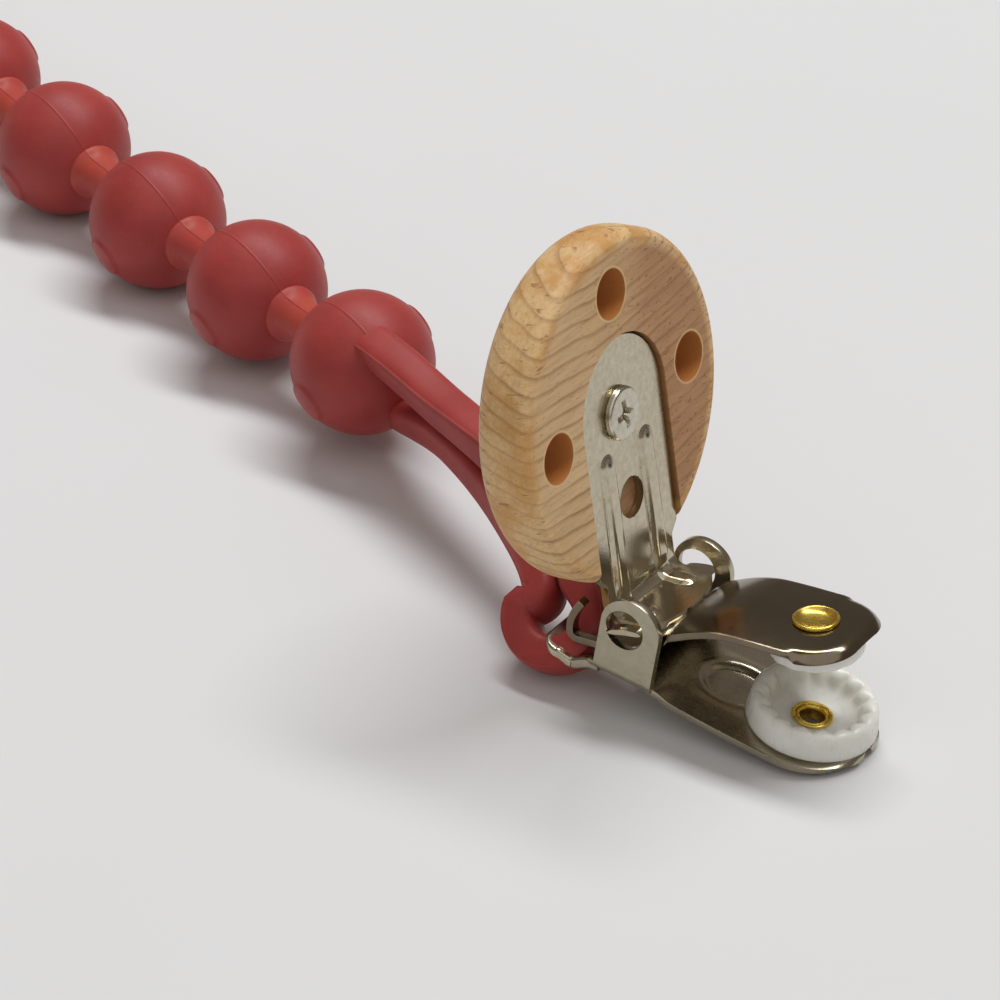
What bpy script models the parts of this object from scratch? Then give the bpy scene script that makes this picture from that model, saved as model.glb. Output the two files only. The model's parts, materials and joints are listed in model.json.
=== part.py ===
"""Pacifier chain: a moulded silicone bead strand with a cam-lever clip and a wooden disc.

Metres, +Z up. The origin is the centre of the wooden disc's outer face. The clip
points along +X, lies nose down on the table, and stands open as photographed.
"""

import math

import bmesh
import bpy
from mathutils import Matrix, Vector

mm = 0.001

# Running gap between touching pieces
seat_gap = 0.3 * mm

# Wooden disc
disc_diameter = 35.0 * mm
disc_thickness = 7.0 * mm
disc_back_round = 1.5 * mm
disc_face_round = 3.4 * mm
vent_diameter = 5.0 * mm
vent_circle_radius = 12.0 * mm
vent_angles = (0, 90, 180)

# Lever: its plate lies in a recess of the disc and is bent into a cam lip
lever_sheet = 0.8 * mm
lever_width = 14.5 * mm
lever_shoulder = 1.15 * mm
lever_neck_width = lever_width - 2 * lever_shoulder
lever_top = 7.1 * mm
lever_reach = 20.7 * mm
lever_neck_rise = 3.4 * mm
lever_neck_length = 1.6 * mm
plate_proud = -0.65 * mm
disc_set_back = 1.5 * mm
lever_bend_radius = 1.7 * mm
lip_length = 3.9 * mm
lip_corner = 2.0 * mm
lip_angle = math.radians(4.7)
plate_hole_diameter = 4.2 * mm
plate_hole_drop = 9.9 * mm
rib_spacing = 7.4 * mm
rib_radius = 0.55 * mm
rib_top_drop = 4.9 * mm
rib_flare = 1.9 * mm
trunnion_width = 3.7 * mm
trunnion_thickness = 0.75 * mm
trunnion_proud = 0.15 * mm

# Screw through the plate into the wood
screw_head_diameter = 5.5 * mm
screw_head_height = 1.1 * mm
screw_shank_diameter = 2.5 * mm
screw_length = 4.6 * mm
screw_rise = -0.5 * mm
cross_width = 0.7 * mm
cross_length = 3.2 * mm
cross_depth = 0.8 * mm

# Pose of the photographed clip
lever_lean = math.radians(8.905)
clip_pitch = math.radians(8.795)
jaw_open = math.radians(12.0)

# Base plate (lower jaw) with two ears
base_sheet = 0.75 * mm
lever_side_play = 0.4 * mm
ear_gap = lever_neck_width + 2 * lever_side_play
ear_sheet = 0.8 * mm
ear_length = 6.6 * mm
ear_round = 3.3 * mm
ear_height = 9.9 * mm
ear_bend = 1.2 * mm
pivot_x = 2.7 * mm
pivot_z = 5.6 * mm
trunnion_clearance = 0.26 * mm
base_rear = 0.6 * mm
base_length = 27.9 * mm
base_neck_width = ear_gap + 0.5 * mm
base_flare = 0.15 * mm
base_full_width = base_neck_width + 2 * base_flare
base_full_x = 16.0 * mm
base_nose_width = 2.0 * mm
base_nose_length = 6.6 * mm
base_drop = 0.75 * mm
rib_start = 9.7 * mm
rib_end = 17.0 * mm
rib_half_width = 2.2 * mm
rib_depth = 0.5 * mm

# Strap ring at the rear of the base
ring_width = base_neck_width
ring_strip = 1.5 * mm
ring_thickness = 1.0 * mm
ring_joint_x = 2.6 * mm
ring_joint_drop = 1.75 * mm
ring_bar_x = 6.0 * mm
ring_corner = 1.5 * mm

# Upper jaw, hinged at its heel behind the ears
jaw_sheet = 0.75 * mm
jaw_side_play = 0.5 * mm
jaw_width = ear_gap - 2 * jaw_side_play
heel_x = 3.6 * mm
trough_length = 9.2 * mm
crown_height = 5.5 * mm
crown_start = 20.0 * mm
jaw_length = 29.8 * mm
jaw_nose_drop = 0.25 * mm
jaw_nose_width = 3.0 * mm
jaw_nose_length = 4.8 * mm
jaw_camber = 0.4 * mm
hook_height = 5.2 * mm
hook_lean = 1.5 * mm
hook_width = 1.1 * mm
hook_cut_x = 2.6 * mm

# Grip pads, the lower one larger, and their eyelets
pad_x = 21.0 * mm
pad_base_radius = 6.4 * mm
pad_rim_radius = 5.6 * mm
upper_pad_base_radius = 5.0 * mm
upper_pad_rim_radius = 4.6 * mm
pad_height = 2.5 * mm
pad_floor = 0.6 * mm
pad_wall = 0.9 * mm
pad_teeth = 20
upper_pad_teeth = 18
tooth_depth = 0.45 * mm
eyelet_barrel_radius = 1.5 * mm
eyelet_bore_radius = 0.95 * mm
eyelet_flange_radius = 2.35 * mm
eyelet_flange = 0.4 * mm

# Silicone strand
bead_diameter = 15.8 * mm
bead_pitch = 22.0 * mm
bead_count = 6
neck_diameter = 5.0 * mm
neck_clearance = 0.3 * mm
strand_heading = math.radians(156.8)
first_bead_back = 50.1 * mm
first_bead_turn = math.radians(148.3)
bead_rise = (1.9 * mm, 0.8 * mm)
leg_thickness = 3.7 * mm
leg_width = 4.5 * mm
leg_gap = 0.5 * mm
root_spread = 9.2 * mm
loop_rise = math.radians(14.0)
loop_start_pull = 22.0 * mm
loop_end_pull = 17.0 * mm
loop_ring_play = 0.65 * mm
loop_side = ring_width / 2 - ring_strip - leg_width / 2 - loop_ring_play
bar_clearance = 0.3 * mm
soother_loop_length = 36.0 * mm
soother_loop_width = 17.0 * mm
soother_leg_thickness = 3.6 * mm
soother_steps = 12

# Sides of the round pieces
round_steps = 48
rivet_steps = 28
ball_steps = 20

# Wood, metal, plastic and silicone as photographed: colour, roughness, metallic
looks = {
    "wood": ((0.72, 0.47, 0.24, 1), 0.6, 0.0),
    "nickel": ((0.52, 0.49, 0.42, 1), 0.25, 1.0),
    "dark_nickel": ((0.30, 0.25, 0.19, 1), 0.22, 1.0),
    "steel": ((0.62, 0.61, 0.58, 1), 0.35, 1.0),
    "screw_steel": ((0.66, 0.65, 0.62, 1), 0.25, 1.0),
    "brass": ((0.71, 0.53, 0.25, 1), 0.25, 1.0),
    "clear_plastic": ((0.85, 0.85, 0.83, 1), 0.35, 0.0),
    "silicone": ((0.42, 0.07, 0.06, 1), 0.55, 0.0),
}

for old in list(bpy.data.objects):
    bpy.data.objects.remove(old, do_unlink=True)

parts = bpy.data.collections.new("pacifier_chain")
cutters = bpy.data.collections.new("cutters")
cutters.hide_render = True
bpy.context.scene.collection.children.link(parts)
bpy.context.scene.collection.children.link(cutters)


def material(name):
    made = bpy.data.materials.get(name)
    if made:
        return made
    colour, roughness, metallic = looks[name]
    made = bpy.data.materials.new(name)
    made.use_nodes = True
    shader = made.node_tree.nodes["Principled BSDF"]
    shader.inputs["Base Color"].default_value = colour
    shader.inputs["Roughness"].default_value = roughness
    shader.inputs["Metallic"].default_value = metallic
    return made


def empty(name, parent=None, location=(0, 0, 0), turn=0.0):
    made = bpy.data.objects.new(name, None)
    made.empty_display_size = 5 * mm
    made.parent = parent
    made.location = location
    made.rotation_euler = (0, turn, 0)
    parts.objects.link(made)
    return made


def piece(name, mesh, look, parent=None, location=(0, 0, 0), rotation=(0, 0, 0)):
    made = bpy.data.objects.new(name, mesh)
    made.parent = parent
    made.location = location
    made.rotation_euler = rotation
    if not mesh.materials:
        mesh.materials.append(material(look))
    parts.objects.link(made)
    return made


def helper(name, mesh, like, location=(0, 0, 0), rotation=(0, 0, 0)):
    """A cutter or a joined shape, placed in the same frame as the piece it works on."""
    made = bpy.data.objects.new(name, mesh)
    made.parent = like.parent
    made.location = location
    made.rotation_euler = rotation
    made.hide_render = True
    made.display_type = "WIRE"
    cutters.objects.link(made)
    return made


def boolean(target, other, operation):
    modifier = target.modifiers.new(other.name, "BOOLEAN")
    modifier.operation = operation
    modifier.object = other


def smooth(mesh, degrees=35):
    mesh.shade_smooth()
    mesh.set_sharp_from_angle(angle=math.radians(degrees))


def mesh_of(name, work):
    mesh = bpy.data.meshes.new(name)
    work.to_mesh(mesh)
    work.free()
    smooth(mesh)
    return mesh


def box_mesh(name, low, high):
    work = bmesh.new()
    bmesh.ops.create_cube(work, size=1.0)
    centre = (Vector(low) + Vector(high)) / 2
    size = Vector(high) - Vector(low)
    for vert in work.verts:
        vert.co = Vector([c * s for c, s in zip(vert.co, size)]) + centre
    return mesh_of(name, work)


def rod_mesh(name, radius, start, end, steps=24):
    """A cylinder from start to end."""
    work = bmesh.new()
    start, end = Vector(start), Vector(end)
    along = end - start
    turn = along.to_track_quat("Z", "Y").to_matrix().to_4x4()
    place = Matrix.Translation((start + end) / 2) @ turn
    bmesh.ops.create_cone(
        work,
        cap_ends=True,
        segments=steps,
        radius1=radius,
        radius2=radius,
        depth=along.length,
        matrix=place,
    )
    return mesh_of(name, work)


def ball_mesh(name, radius, centre, steps=ball_steps):
    """A ball whose poles lie on the strand's own line."""
    work = bmesh.new()
    turn = Matrix.Rotation(math.pi / 2, 4, "Y")
    bmesh.ops.create_uvsphere(
        work,
        u_segments=steps,
        v_segments=steps // 2,
        radius=radius,
        matrix=Matrix.Translation(centre) @ turn,
    )
    return mesh_of(name, work)


def loft_mesh(name, rings):
    """Closed skin through rings of equal counts, with a flat cap at each end."""
    work = bmesh.new()
    rows = [[work.verts.new(point) for point in ring] for ring in rings]
    count = len(rows[0])
    for row, after in zip(rows, rows[1:]):
        for i in range(count):
            j = (i + 1) % count
            work.faces.new((row[i], row[j], after[j], after[i]))
    work.faces.new(list(reversed(rows[0])))
    work.faces.new(rows[-1])
    bmesh.ops.recalc_face_normals(work, faces=work.faces)
    return mesh_of(name, work)


def sheet_mesh(name, rows):
    """The middle surface of a pressed sheet; Solidify gives it its thickness."""
    work = bmesh.new()
    grid = [[work.verts.new(point) for point in row] for row in rows]
    for row, after in zip(grid, grid[1:]):
        for i in range(len(row) - 1):
            work.faces.new((row[i], row[i + 1], after[i + 1], after[i]))
    return mesh_of(name, work)


def thicken(target, thickness):
    modifier = target.modifiers.new("sheet", "SOLIDIFY")
    modifier.thickness = thickness
    modifier.offset = 0
    modifier.use_even_offset = True


def turned(name, profile, steps=round_steps):
    """A profile of (radius, height) points, top to bottom down its outer side, for Screw."""
    work = bmesh.new()
    verts = [work.verts.new((radius, 0, height)) for radius, height in profile]
    for first, second in zip(verts, verts[1:]):
        work.edges.new((first, second))
    if profile[0][0] > 0:
        work.edges.new((verts[-1], verts[0]))
    mesh = bpy.data.meshes.new(name)
    work.to_mesh(mesh)
    work.free()
    return mesh


def spin(target, steps=round_steps):
    modifier = target.modifiers.new("turn", "SCREW")
    modifier.steps = steps
    modifier.render_steps = steps
    modifier.use_merge_vertices = True
    modifier.merge_threshold = 0.00001
    modifier.use_smooth_shade = True


def arc(centre, radius, start, end, count):
    """Points on an arc in a plane, angles in degrees."""
    angles = [math.radians(start + (end - start) * i / count) for i in range(count + 1)]
    return [(centre[0] + radius * math.cos(a), centre[1] + radius * math.sin(a)) for a in angles]


def outline_mesh(name, points, depth):
    """A flat outline in x and z, extruded to depth, centred on the y plane."""
    curve = bpy.data.curves.new(name, "CURVE")
    curve.dimensions = "2D"
    curve.fill_mode = "BOTH"
    curve.extrude = depth / 2
    spline = curve.splines.new("POLY")
    spline.points.add(len(points) - 1)
    for point, (x, z) in zip(spline.points, points):
        point.co = (x, z, 0, 1)
    spline.use_cyclic_u = True
    guide = bpy.data.objects.new(name, curve)
    bpy.context.scene.collection.objects.link(guide)
    graph = bpy.context.evaluated_depsgraph_get()
    graph.update()
    mesh = bpy.data.meshes.new_from_object(guide.evaluated_get(graph))
    bpy.data.objects.remove(guide, do_unlink=True)
    work = bmesh.new()
    work.from_mesh(mesh)
    bpy.data.meshes.remove(mesh)
    bmesh.ops.remove_doubles(work, verts=work.verts, dist=0.000001)
    bmesh.ops.rotate(work, verts=work.verts, matrix=Matrix.Rotation(math.pi / 2, 3, "X"))
    bmesh.ops.recalc_face_normals(work, faces=work.faces)
    return mesh_of(name, work)


def ease(value):
    value = min(max(value, 0.0), 1.0)
    return value * value * (3 - 2 * value)


def through(points, count):
    """Points at even steps on a smooth curve through the given ones."""
    found = []
    last = len(points) - 1
    for step in range(count + 1):
        place = step * last / count
        i = min(int(place), last - 1)
        t = place - i
        p0 = Vector(points[max(i - 1, 0)])
        p1, p2 = Vector(points[i]), Vector(points[i + 1])
        p3 = Vector(points[min(i + 2, last)])
        found.append(
            0.5
            * (
                2 * p1
                + (p2 - p0) * t
                + (2 * p0 - 5 * p1 + 4 * p2 - p3) * t * t
                + (3 * p1 - p0 - 3 * p2 + p3) * t**3
            )
        )
    return found


# Frames of the clip: everything hangs on the disc's outer face at the origin
lever_turn = Matrix.Rotation(-lever_lean, 3, "Y")
clip_turn = Matrix.Rotation(clip_pitch, 3, "Y")
pivot_world = lever_turn @ Vector((disc_set_back + disc_thickness, 0, -lever_reach))
clip_origin = pivot_world - clip_turn @ Vector((pivot_x, 0, pivot_z))
clip_frame = empty("clip_frame", location=clip_origin, turn=clip_pitch)
lever_axis = empty("lever_axis", clip_frame, (pivot_x, 0, pivot_z), -(lever_lean + clip_pitch))
heel_z = seat_gap + jaw_sheet / 2
jaw_axis = empty("jaw_axis", clip_frame, (-heel_x, 0, heel_z), -jaw_open)


# Base plate: convex sheet floor, a channel with two ears, two lugs for the ring
def base_half_width(x):
    """Half the width of the floor at x, with a rounded nose."""
    nose = base_length - base_nose_length
    if x <= nose:
        share = ease((x - ear_length) / (base_full_x - ear_length))
        share = share**0.6
        return (base_neck_width + (base_full_width - base_neck_width) * share) / 2
    share = (x - nose) / base_nose_length
    half = base_full_width / 2
    tip = base_nose_width / 2
    return tip + (half - tip) * math.sqrt(max(1 - share**2, 0))


def base_height(x, y):
    """Middle surface of the floor: flat in the middle, flanks turned down."""
    half = base_half_width(x)
    flat = half * 0.56
    side = max(abs(y) - flat, 0) / (half - flat)
    height = -base_sheet / 2 - base_drop * side**1.8 * ease((x - ear_length) / (2.5 * mm))
    centre = (rib_start + rib_end) / 2
    across = math.hypot((x - centre) / ((rib_end - rib_start) / 2), y / rib_half_width)
    return height - rib_depth * ease((1.25 - across) / 0.45)


floor_rows = []
floor_start = ear_length - 0.8 * mm
nose_start = base_length - base_nose_length
floor_stops = [floor_start + (nose_start - floor_start) * i / 14 for i in range(15)]
floor_stops += [nose_start + base_nose_length * math.sin(math.pi / 2 * i / 6) for i in range(1, 7)]
for stop in floor_stops:
    half = base_half_width(stop)
    floor_rows.append([])
    for i in range(17):
        y = half * (i / 8 - 1)
        floor_rows[-1].append((stop, y, base_height(stop, y)))
base_plate = piece("base_plate", sheet_mesh("base_plate", floor_rows), "steel", clip_frame)
thicken(base_plate, base_sheet)

# The table is where the floor's nose rests
bpy.context.view_layer.update()
floor = base_plate.evaluated_get(bpy.context.evaluated_depsgraph_get())
table = min((floor.matrix_world @ vert.co).z for vert in floor.data.vertices)

ear_outer = ear_gap / 2 + ear_sheet
channel_out = [(-ear_outer, ear_height + mm)]
channel_out += arc((-ear_outer + ear_bend, -base_sheet + ear_bend), ear_bend, 180, 270, 6)
channel_out += arc((ear_outer - ear_bend, -base_sheet + ear_bend), ear_bend, 270, 360, 6)
channel_out += [(ear_outer, ear_height + mm), (ear_gap / 2, ear_height + mm)]
inner_bend = ear_bend - ear_sheet
channel_out += arc((ear_gap / 2 - inner_bend, inner_bend), inner_bend, 0, -90, 4)
channel_out += arc((-ear_gap / 2 + inner_bend, inner_bend), inner_bend, -90, -180, 4)
channel_out += [(-ear_gap / 2, ear_height + mm)]
channel_length = ear_length + base_rear
channel = helper(
    "channel",
    outline_mesh("channel", channel_out, channel_length),
    base_plate,
    ((ear_length - base_rear) / 2, 0, 0),
    (0, 0, math.pi / 2),
)
ear_side = [(-base_rear - mm, -mm - base_sheet), (ear_length + mm, -mm - base_sheet)]
ear_side += [(ear_length + mm, inner_bend), (ear_length, inner_bend)]
ear_side += arc((ear_length - ear_round, ear_height - ear_round), ear_round, 0, 180, 14)
ear_side += [(0, inner_bend), (-base_rear - mm, inner_bend)]
ear_shape = helper(
    "ear_shape", outline_mesh("ear_shape", ear_side, 2 * ear_outer + 4 * mm), base_plate
)
boolean(channel, ear_shape, "INTERSECT")
hole_radius = math.hypot(trunnion_width, trunnion_thickness) / 2 + trunnion_clearance
ear_hole = helper(
    "ear_hole",
    rod_mesh("ear_hole", hole_radius, (pivot_x, -2 * ear_outer, pivot_z), (pivot_x, 2 * ear_outer, pivot_z)),
    base_plate,
)
boolean(channel, ear_hole, "DIFFERENCE")
boolean(base_plate, channel, "UNION")

# The loop's end lies on the table round the rear bar
bar_half = math.hypot(ring_strip, ring_thickness) / 2 - 0.1 * mm
end_radius = bar_half + bar_clearance + leg_thickness / 2
bar_world_z = table + end_radius + leg_thickness / 2
bar_z = (bar_world_z - clip_origin.z - ring_bar_x * math.sin(clip_pitch)) / math.cos(clip_pitch)
ring_half = (ring_width - ring_strip) / 2


def strip_ring(x, y, z, along, up, half_y):
    """Rounded strip section at a point: up is its thickness direction."""
    across = Vector(along).cross(Vector(up)).normalized()
    corner = 0.3 * mm
    points = []
    for sy, sz, start in ((1, 1, 0), (-1, 1, 90), (-1, -1, 180), (1, -1, 270)):
        centre = (sy * (half_y - corner), sz * (ring_thickness / 2 - corner))
        points += arc(centre, corner, start, start + 90, 2)
    centre = Vector((x, y, z))
    return [centre + across * a + Vector(up).normalized() * b for a, b in points]


# The arms leave the floor, sag, and turn into the rear bar
arm_points = [
    (-base_rear + 0.9 * mm, -ring_thickness / 2),
    (-base_rear - 0.4 * mm, -ring_thickness / 2 - 0.25 * mm),
    (-ring_joint_x, -ring_joint_drop),
    (-(ring_joint_x + ring_bar_x) / 2, bar_z + 0.05 * mm),
    (-ring_bar_x, bar_z),
]
arm_line = through([(x, 0, z) for x, z in arm_points], 24)
joint_index = 12
for side, name in ((-1, "near_lug"), (1, "far_lug")):
    rings = []
    for i in range(joint_index + 1):
        along = arm_line[min(i + 1, 24)] - arm_line[max(i - 1, 0)]
        up = Vector((0, 1, 0)).cross(along) * -1
        rings.append(strip_ring(arm_line[i].x, side * ring_half, arm_line[i].z, along, up, ring_strip / 2))
    lug = helper(name, loft_mesh(name, rings), base_plate)
    boolean(base_plate, lug, "UNION")

# Strap ring: from the butt joint on one side round the rear bar to the other
ring_path = []
for i in range(joint_index + 1, 25):
    if arm_line[i].x > -ring_bar_x + ring_corner:
        ring_path.append(Vector((arm_line[i].x, -ring_half, arm_line[i].z)))
for i in range(7):
    angle = math.pi / 2 * i / 6
    x = -ring_bar_x + ring_corner * (1 - math.sin(angle))
    y = -ring_half + ring_corner * (1 - math.cos(angle))
    ring_path.append(Vector((x, y, bar_z)))
lug_end = Vector((arm_line[joint_index].x, -ring_half, arm_line[joint_index].z))
first_shift = seat_gap - (lug_end - ring_path[0]).length
ring_path[0] += (ring_path[1] - ring_path[0]).normalized() * first_shift
ring_path += [Vector((point.x, -point.y, point.z)) for point in reversed(ring_path)]
ring_rings = []
for i, point in enumerate(ring_path):
    along = (ring_path[min(i + 1, len(ring_path) - 1)] - ring_path[max(i - 1, 0)]).normalized()
    sideways = Vector((0, 0, 1)).cross(along).normalized()
    up = along.cross(sideways)
    ring_rings.append(strip_ring(point.x, point.y, point.z, along, up, ring_strip / 2))
strap_ring = piece("strap_ring", loft_mesh("strap_ring", ring_rings), "brass", clip_frame)


# Upper jaw, drawn closed and level from its heel, then opened by the axis
jaw_line = []
crescent = trough_length + 3.9 * mm
for i in range(6):
    jaw_line.append((trough_length * i / 5, 0.0))
rise = crown_height * 0.53
for i in range(1, 7):
    share = i / 6
    jaw_line.append((trough_length + (crescent - trough_length) * share**0.8, rise * share**1.5))
for i in range(1, 7):
    share = i / 6
    height = rise + (crown_height - rise) * math.sin(math.pi / 2 * share)
    jaw_line.append((crescent + (crown_start - crescent) * share, height))
nose_x = jaw_length - jaw_nose_length
for i in range(1, 4):
    jaw_line.append((crown_start + (nose_x - crown_start) * i / 3, crown_height + 0.05 * mm))
for i in range(1, 8):
    share = math.sin(math.pi / 2 * i / 7)
    jaw_line.append((nose_x + jaw_nose_length * share, crown_height + 0.05 * mm - jaw_nose_drop * share**4))


def jaw_half_width(x):
    if x <= nose_x:
        return jaw_width / 2
    share = (x - nose_x) / jaw_nose_length
    tip = jaw_nose_width / 2
    return tip + (jaw_width / 2 - tip) * math.sqrt(max(1 - share**2, 0))


hook_line = []
for i in range(7, 0, -1):
    share = i / 7
    lean = hook_lean * share - 0.55 * mm * math.sin(math.pi * share)
    hook_line.append((lean, hook_height * share))
jaw_rivet_x = pad_x + heel_x
jaw_pad_edge = jaw_rivet_x - upper_pad_base_radius
jaw_rows = []
for x, z in hook_line + jaw_line:
    half = jaw_half_width(x)
    camber = jaw_camber * ease((z - 1.5 * mm) / (2 * mm)) if x > trough_length else 0
    camber *= 1 - ease((x - jaw_pad_edge + 5 * mm) / (5 * mm))
    row = []
    for i in range(11):
        y = half * (i / 5 - 1)
        row.append((x, y, z - camber * (y / (jaw_width / 2)) ** 2))
    jaw_rows.append(row)
upper_jaw = piece("upper_jaw", sheet_mesh("upper_jaw", jaw_rows), "dark_nickel", jaw_axis)
thicken(upper_jaw, jaw_sheet)
hook_inner = jaw_width / 2 - hook_width
tail_cut = helper(
    "tail_cut",
    box_mesh(
        "tail_cut",
        (-2 * mm, -hook_inner, -2 * mm),
        (hook_cut_x, hook_inner, hook_height + 3 * mm),
    ),
    upper_jaw,
)
boolean(upper_jaw, tail_cut, "DIFFERENCE")
jaw_hole = helper(
    "jaw_hole",
    rod_mesh(
        "jaw_hole",
        eyelet_barrel_radius + seat_gap,
        (jaw_rivet_x, 0, 0),
        (jaw_rivet_x, 0, 3 * crown_height),
    ),
    upper_jaw,
)
boolean(upper_jaw, jaw_hole, "DIFFERENCE")
base_hole = helper(
    "base_hole",
    rod_mesh("base_hole", eyelet_barrel_radius + seat_gap, (pad_x, 0, -4 * mm), (pad_x, 0, 4 * mm)),
    base_plate,
)
boolean(base_plate, base_hole, "DIFFERENCE")


# Grip pads: shallow cups with a ring of rounded teeth, dished to the eyelet
def pad_mesh(name, base_radius, rim_radius, teeth):
    steps = teeth * 3
    hole = eyelet_barrel_radius + seat_gap
    shape = [
        (hole, 0, 0),
        (base_radius - 0.3 * mm, 0, 0),
        (base_radius, 0.3 * mm, 0),
        (base_radius - 0.15 * mm, pad_height * 0.45, 0),
        (rim_radius + 0.25 * mm, pad_height - 0.35 * mm, 1),
        (rim_radius, pad_height, 1),
        (rim_radius - 0.45 * mm, pad_height, 1),
        (rim_radius - pad_wall, pad_height - 0.35 * mm, 1),
        (rim_radius - pad_wall - 0.5 * mm, pad_height * 0.5, 0),
        (eyelet_flange_radius + 1.0 * mm, pad_floor + 0.25 * mm, 0),
        (eyelet_flange_radius + 0.4 * mm, pad_floor, 0),
        (hole, pad_floor, 0),
    ]
    work = bmesh.new()
    rows = []
    for radius, height, toothed in shape:
        row = []
        for i in range(steps):
            angle = 2 * math.pi * i / steps
            wave = 0.5 - 0.5 * math.cos(teeth * angle)
            drop = tooth_depth * wave * toothed
            x, y = radius * math.cos(angle), radius * math.sin(angle)
            row.append(work.verts.new((x, y, height - drop)))
        rows.append(row)
    rows.append(rows[0])
    for row, after in zip(rows, rows[1:]):
        for i in range(steps):
            j = (i + 1) % steps
            work.faces.new((row[i], row[j], after[j], after[i]))
    bmesh.ops.recalc_face_normals(work, faces=work.faces)
    return mesh_of(name, work)


jaw_under = crown_height + 0.05 * mm - jaw_sheet / 2
lower_pad = piece(
    "lower_pad",
    pad_mesh("lower_pad", pad_base_radius, pad_rim_radius, pad_teeth),
    "clear_plastic",
    clip_frame,
    (pad_x, 0, seat_gap),
)
upper_pad = piece(
    "upper_pad",
    pad_mesh("upper_pad", upper_pad_base_radius, upper_pad_rim_radius, upper_pad_teeth),
    "clear_plastic",
    jaw_axis,
    (jaw_rivet_x, 0, jaw_under - seat_gap),
    (math.pi, 0, 0),
)


# Eyelets: a flange in the dish, a barrel through pad and sheet, a rolled end outside
def eyelet_profile():
    grip = seat_gap + base_sheet + seat_gap + pad_floor + seat_gap
    flange = eyelet_flange_radius
    bore = eyelet_bore_radius
    barrel = eyelet_barrel_radius
    edge = eyelet_flange * 0.45
    return [
        (bore + 0.35 * mm, grip + eyelet_flange),
        (flange - edge, grip + eyelet_flange),
        (flange, grip + eyelet_flange - edge),
        (flange, grip),
        (barrel, grip),
        (barrel, 0),
        (flange - 0.1 * mm, 0),
        (flange - 0.1 * mm - edge, -eyelet_flange),
        (bore + 0.3 * mm, -eyelet_flange),
        (bore, -eyelet_flange + 0.3 * mm),
        (bore, grip + eyelet_flange - 0.3 * mm),
    ]


eyelets = turned("eyelet", eyelet_profile())
lower_eyelet = piece(
    "lower_eyelet", eyelets, "brass", clip_frame, (pad_x, 0, -base_sheet - seat_gap)
)
spin(lower_eyelet, rivet_steps)
upper_eyelet = piece(
    "upper_eyelet",
    eyelets,
    "brass",
    jaw_axis,
    (jaw_rivet_x, 0, jaw_under + jaw_sheet + seat_gap),
    (math.pi, 0, 0),
)
spin(upper_eyelet, rivet_steps)


# Lever plate: middle line from the rounded top down, round the bend and out along the lip
plate_back = -disc_set_back - lever_sheet + plate_proud
plate_mid = plate_back + lever_sheet / 2
lip_along = Vector((math.cos(lip_angle), 0, -math.sin(lip_angle)))
lip_normal = Vector((math.sin(lip_angle), 0, math.cos(lip_angle)))
bend_x = plate_mid + lever_bend_radius
bend_z = (lever_bend_radius - lip_normal.x * bend_x) / lip_normal.z
top_z = lever_reach + lever_top
lever_stops = []
round_start = top_z - lever_width / 2
for i in range(9):
    angle = math.pi / 2 * i / 8
    z = round_start + (top_z - round_start) * math.cos(angle)
    half = max(lever_width / 2 * math.sin(angle), 0.9 * mm)
    lever_stops.append(((plate_mid, z), half))
neck_z = bend_z + lever_neck_rise
for i in range(1, 6):
    z = round_start + (neck_z - round_start) * i / 5
    lever_stops.append(((plate_mid, z), lever_width / 2))
for i in range(1, 5):
    share = i / 4
    half = lever_width / 2 - (lever_width - lever_neck_width) / 2 * ease(share)
    lever_stops.append(((plate_mid, neck_z - lever_neck_length * share), half))
bend_turn = math.pi / 2 - lip_angle
for i in range(9):
    angle = math.pi + bend_turn * i / 8
    x = bend_x + lever_bend_radius * math.cos(angle)
    z = bend_z + lever_bend_radius * math.sin(angle)
    lever_stops.append(((x, z), lever_neck_width / 2))
side_end = lip_length - lip_corner
for s in (0.35, 0.7, 1.0):
    point = lip_along * (side_end * s)
    lever_stops.append(((point.x, point.z), lever_neck_width / 2))
for i in range(1, 8):
    angle = math.pi / 2 * i / 8
    point = lip_along * (side_end + lip_corner * math.sin(angle))
    half = lever_neck_width / 2 - 3.2 * mm * (1 - math.cos(angle)) ** 0.8
    lever_stops.append(((point.x, point.z), half))
lever_rows = []
for (x, z), half in lever_stops:
    lever_rows.append([(x, half * (i / 4 - 1), z) for i in range(9)])
lever_plate = piece("lever_plate", sheet_mesh("lever_plate", lever_rows), "nickel", lever_axis)
thicken(lever_plate, lever_sheet)

# Two stiffening ribs that curl outward at the foot
plate_front = plate_back + lever_sheet
for side, name in ((-1, "near_rib"), (1, "far_rib")):
    rib_x = plate_front + 0.22 * mm
    foot = bend_z + 1.5 * mm
    route = [
        (rib_x - 0.9 * mm, side * rib_spacing / 2, lever_reach - rib_top_drop + 1.2 * mm),
        (rib_x, side * rib_spacing / 2, lever_reach - rib_top_drop),
        (rib_x, side * rib_spacing / 2, (lever_reach + foot) / 2),
        (rib_x, side * rib_spacing / 2, foot + 1.6 * mm),
        (rib_x + 0.05 * mm, side * (rib_spacing / 2 + 0.15 * mm), foot),
        (rib_x + 0.5 * mm, side * (rib_spacing / 2 + 0.8 * mm), foot - 1.5 * mm),
        (rib_x + 0.75 * mm, side * (rib_spacing / 2 + rib_flare), foot - 2.0 * mm),
    ]
    line = through(route, 22)
    rings = []
    for i, point in enumerate(line):
        along = (line[min(i + 1, 22)] - line[max(i - 1, 0)]).normalized()
        across = Vector((0, 1, 0)) - along * along.y
        across.normalize()
        out = along.cross(across)
        ring = []
        for k in range(8):
            angle = 2 * math.pi * k / 8
            ring.append(point + (across * math.cos(angle) + out * math.sin(angle)) * rib_radius)
        rings.append(ring)
    rib = helper(name, loft_mesh(name, rings), lever_plate)
    boolean(lever_plate, rib, "UNION")

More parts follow.
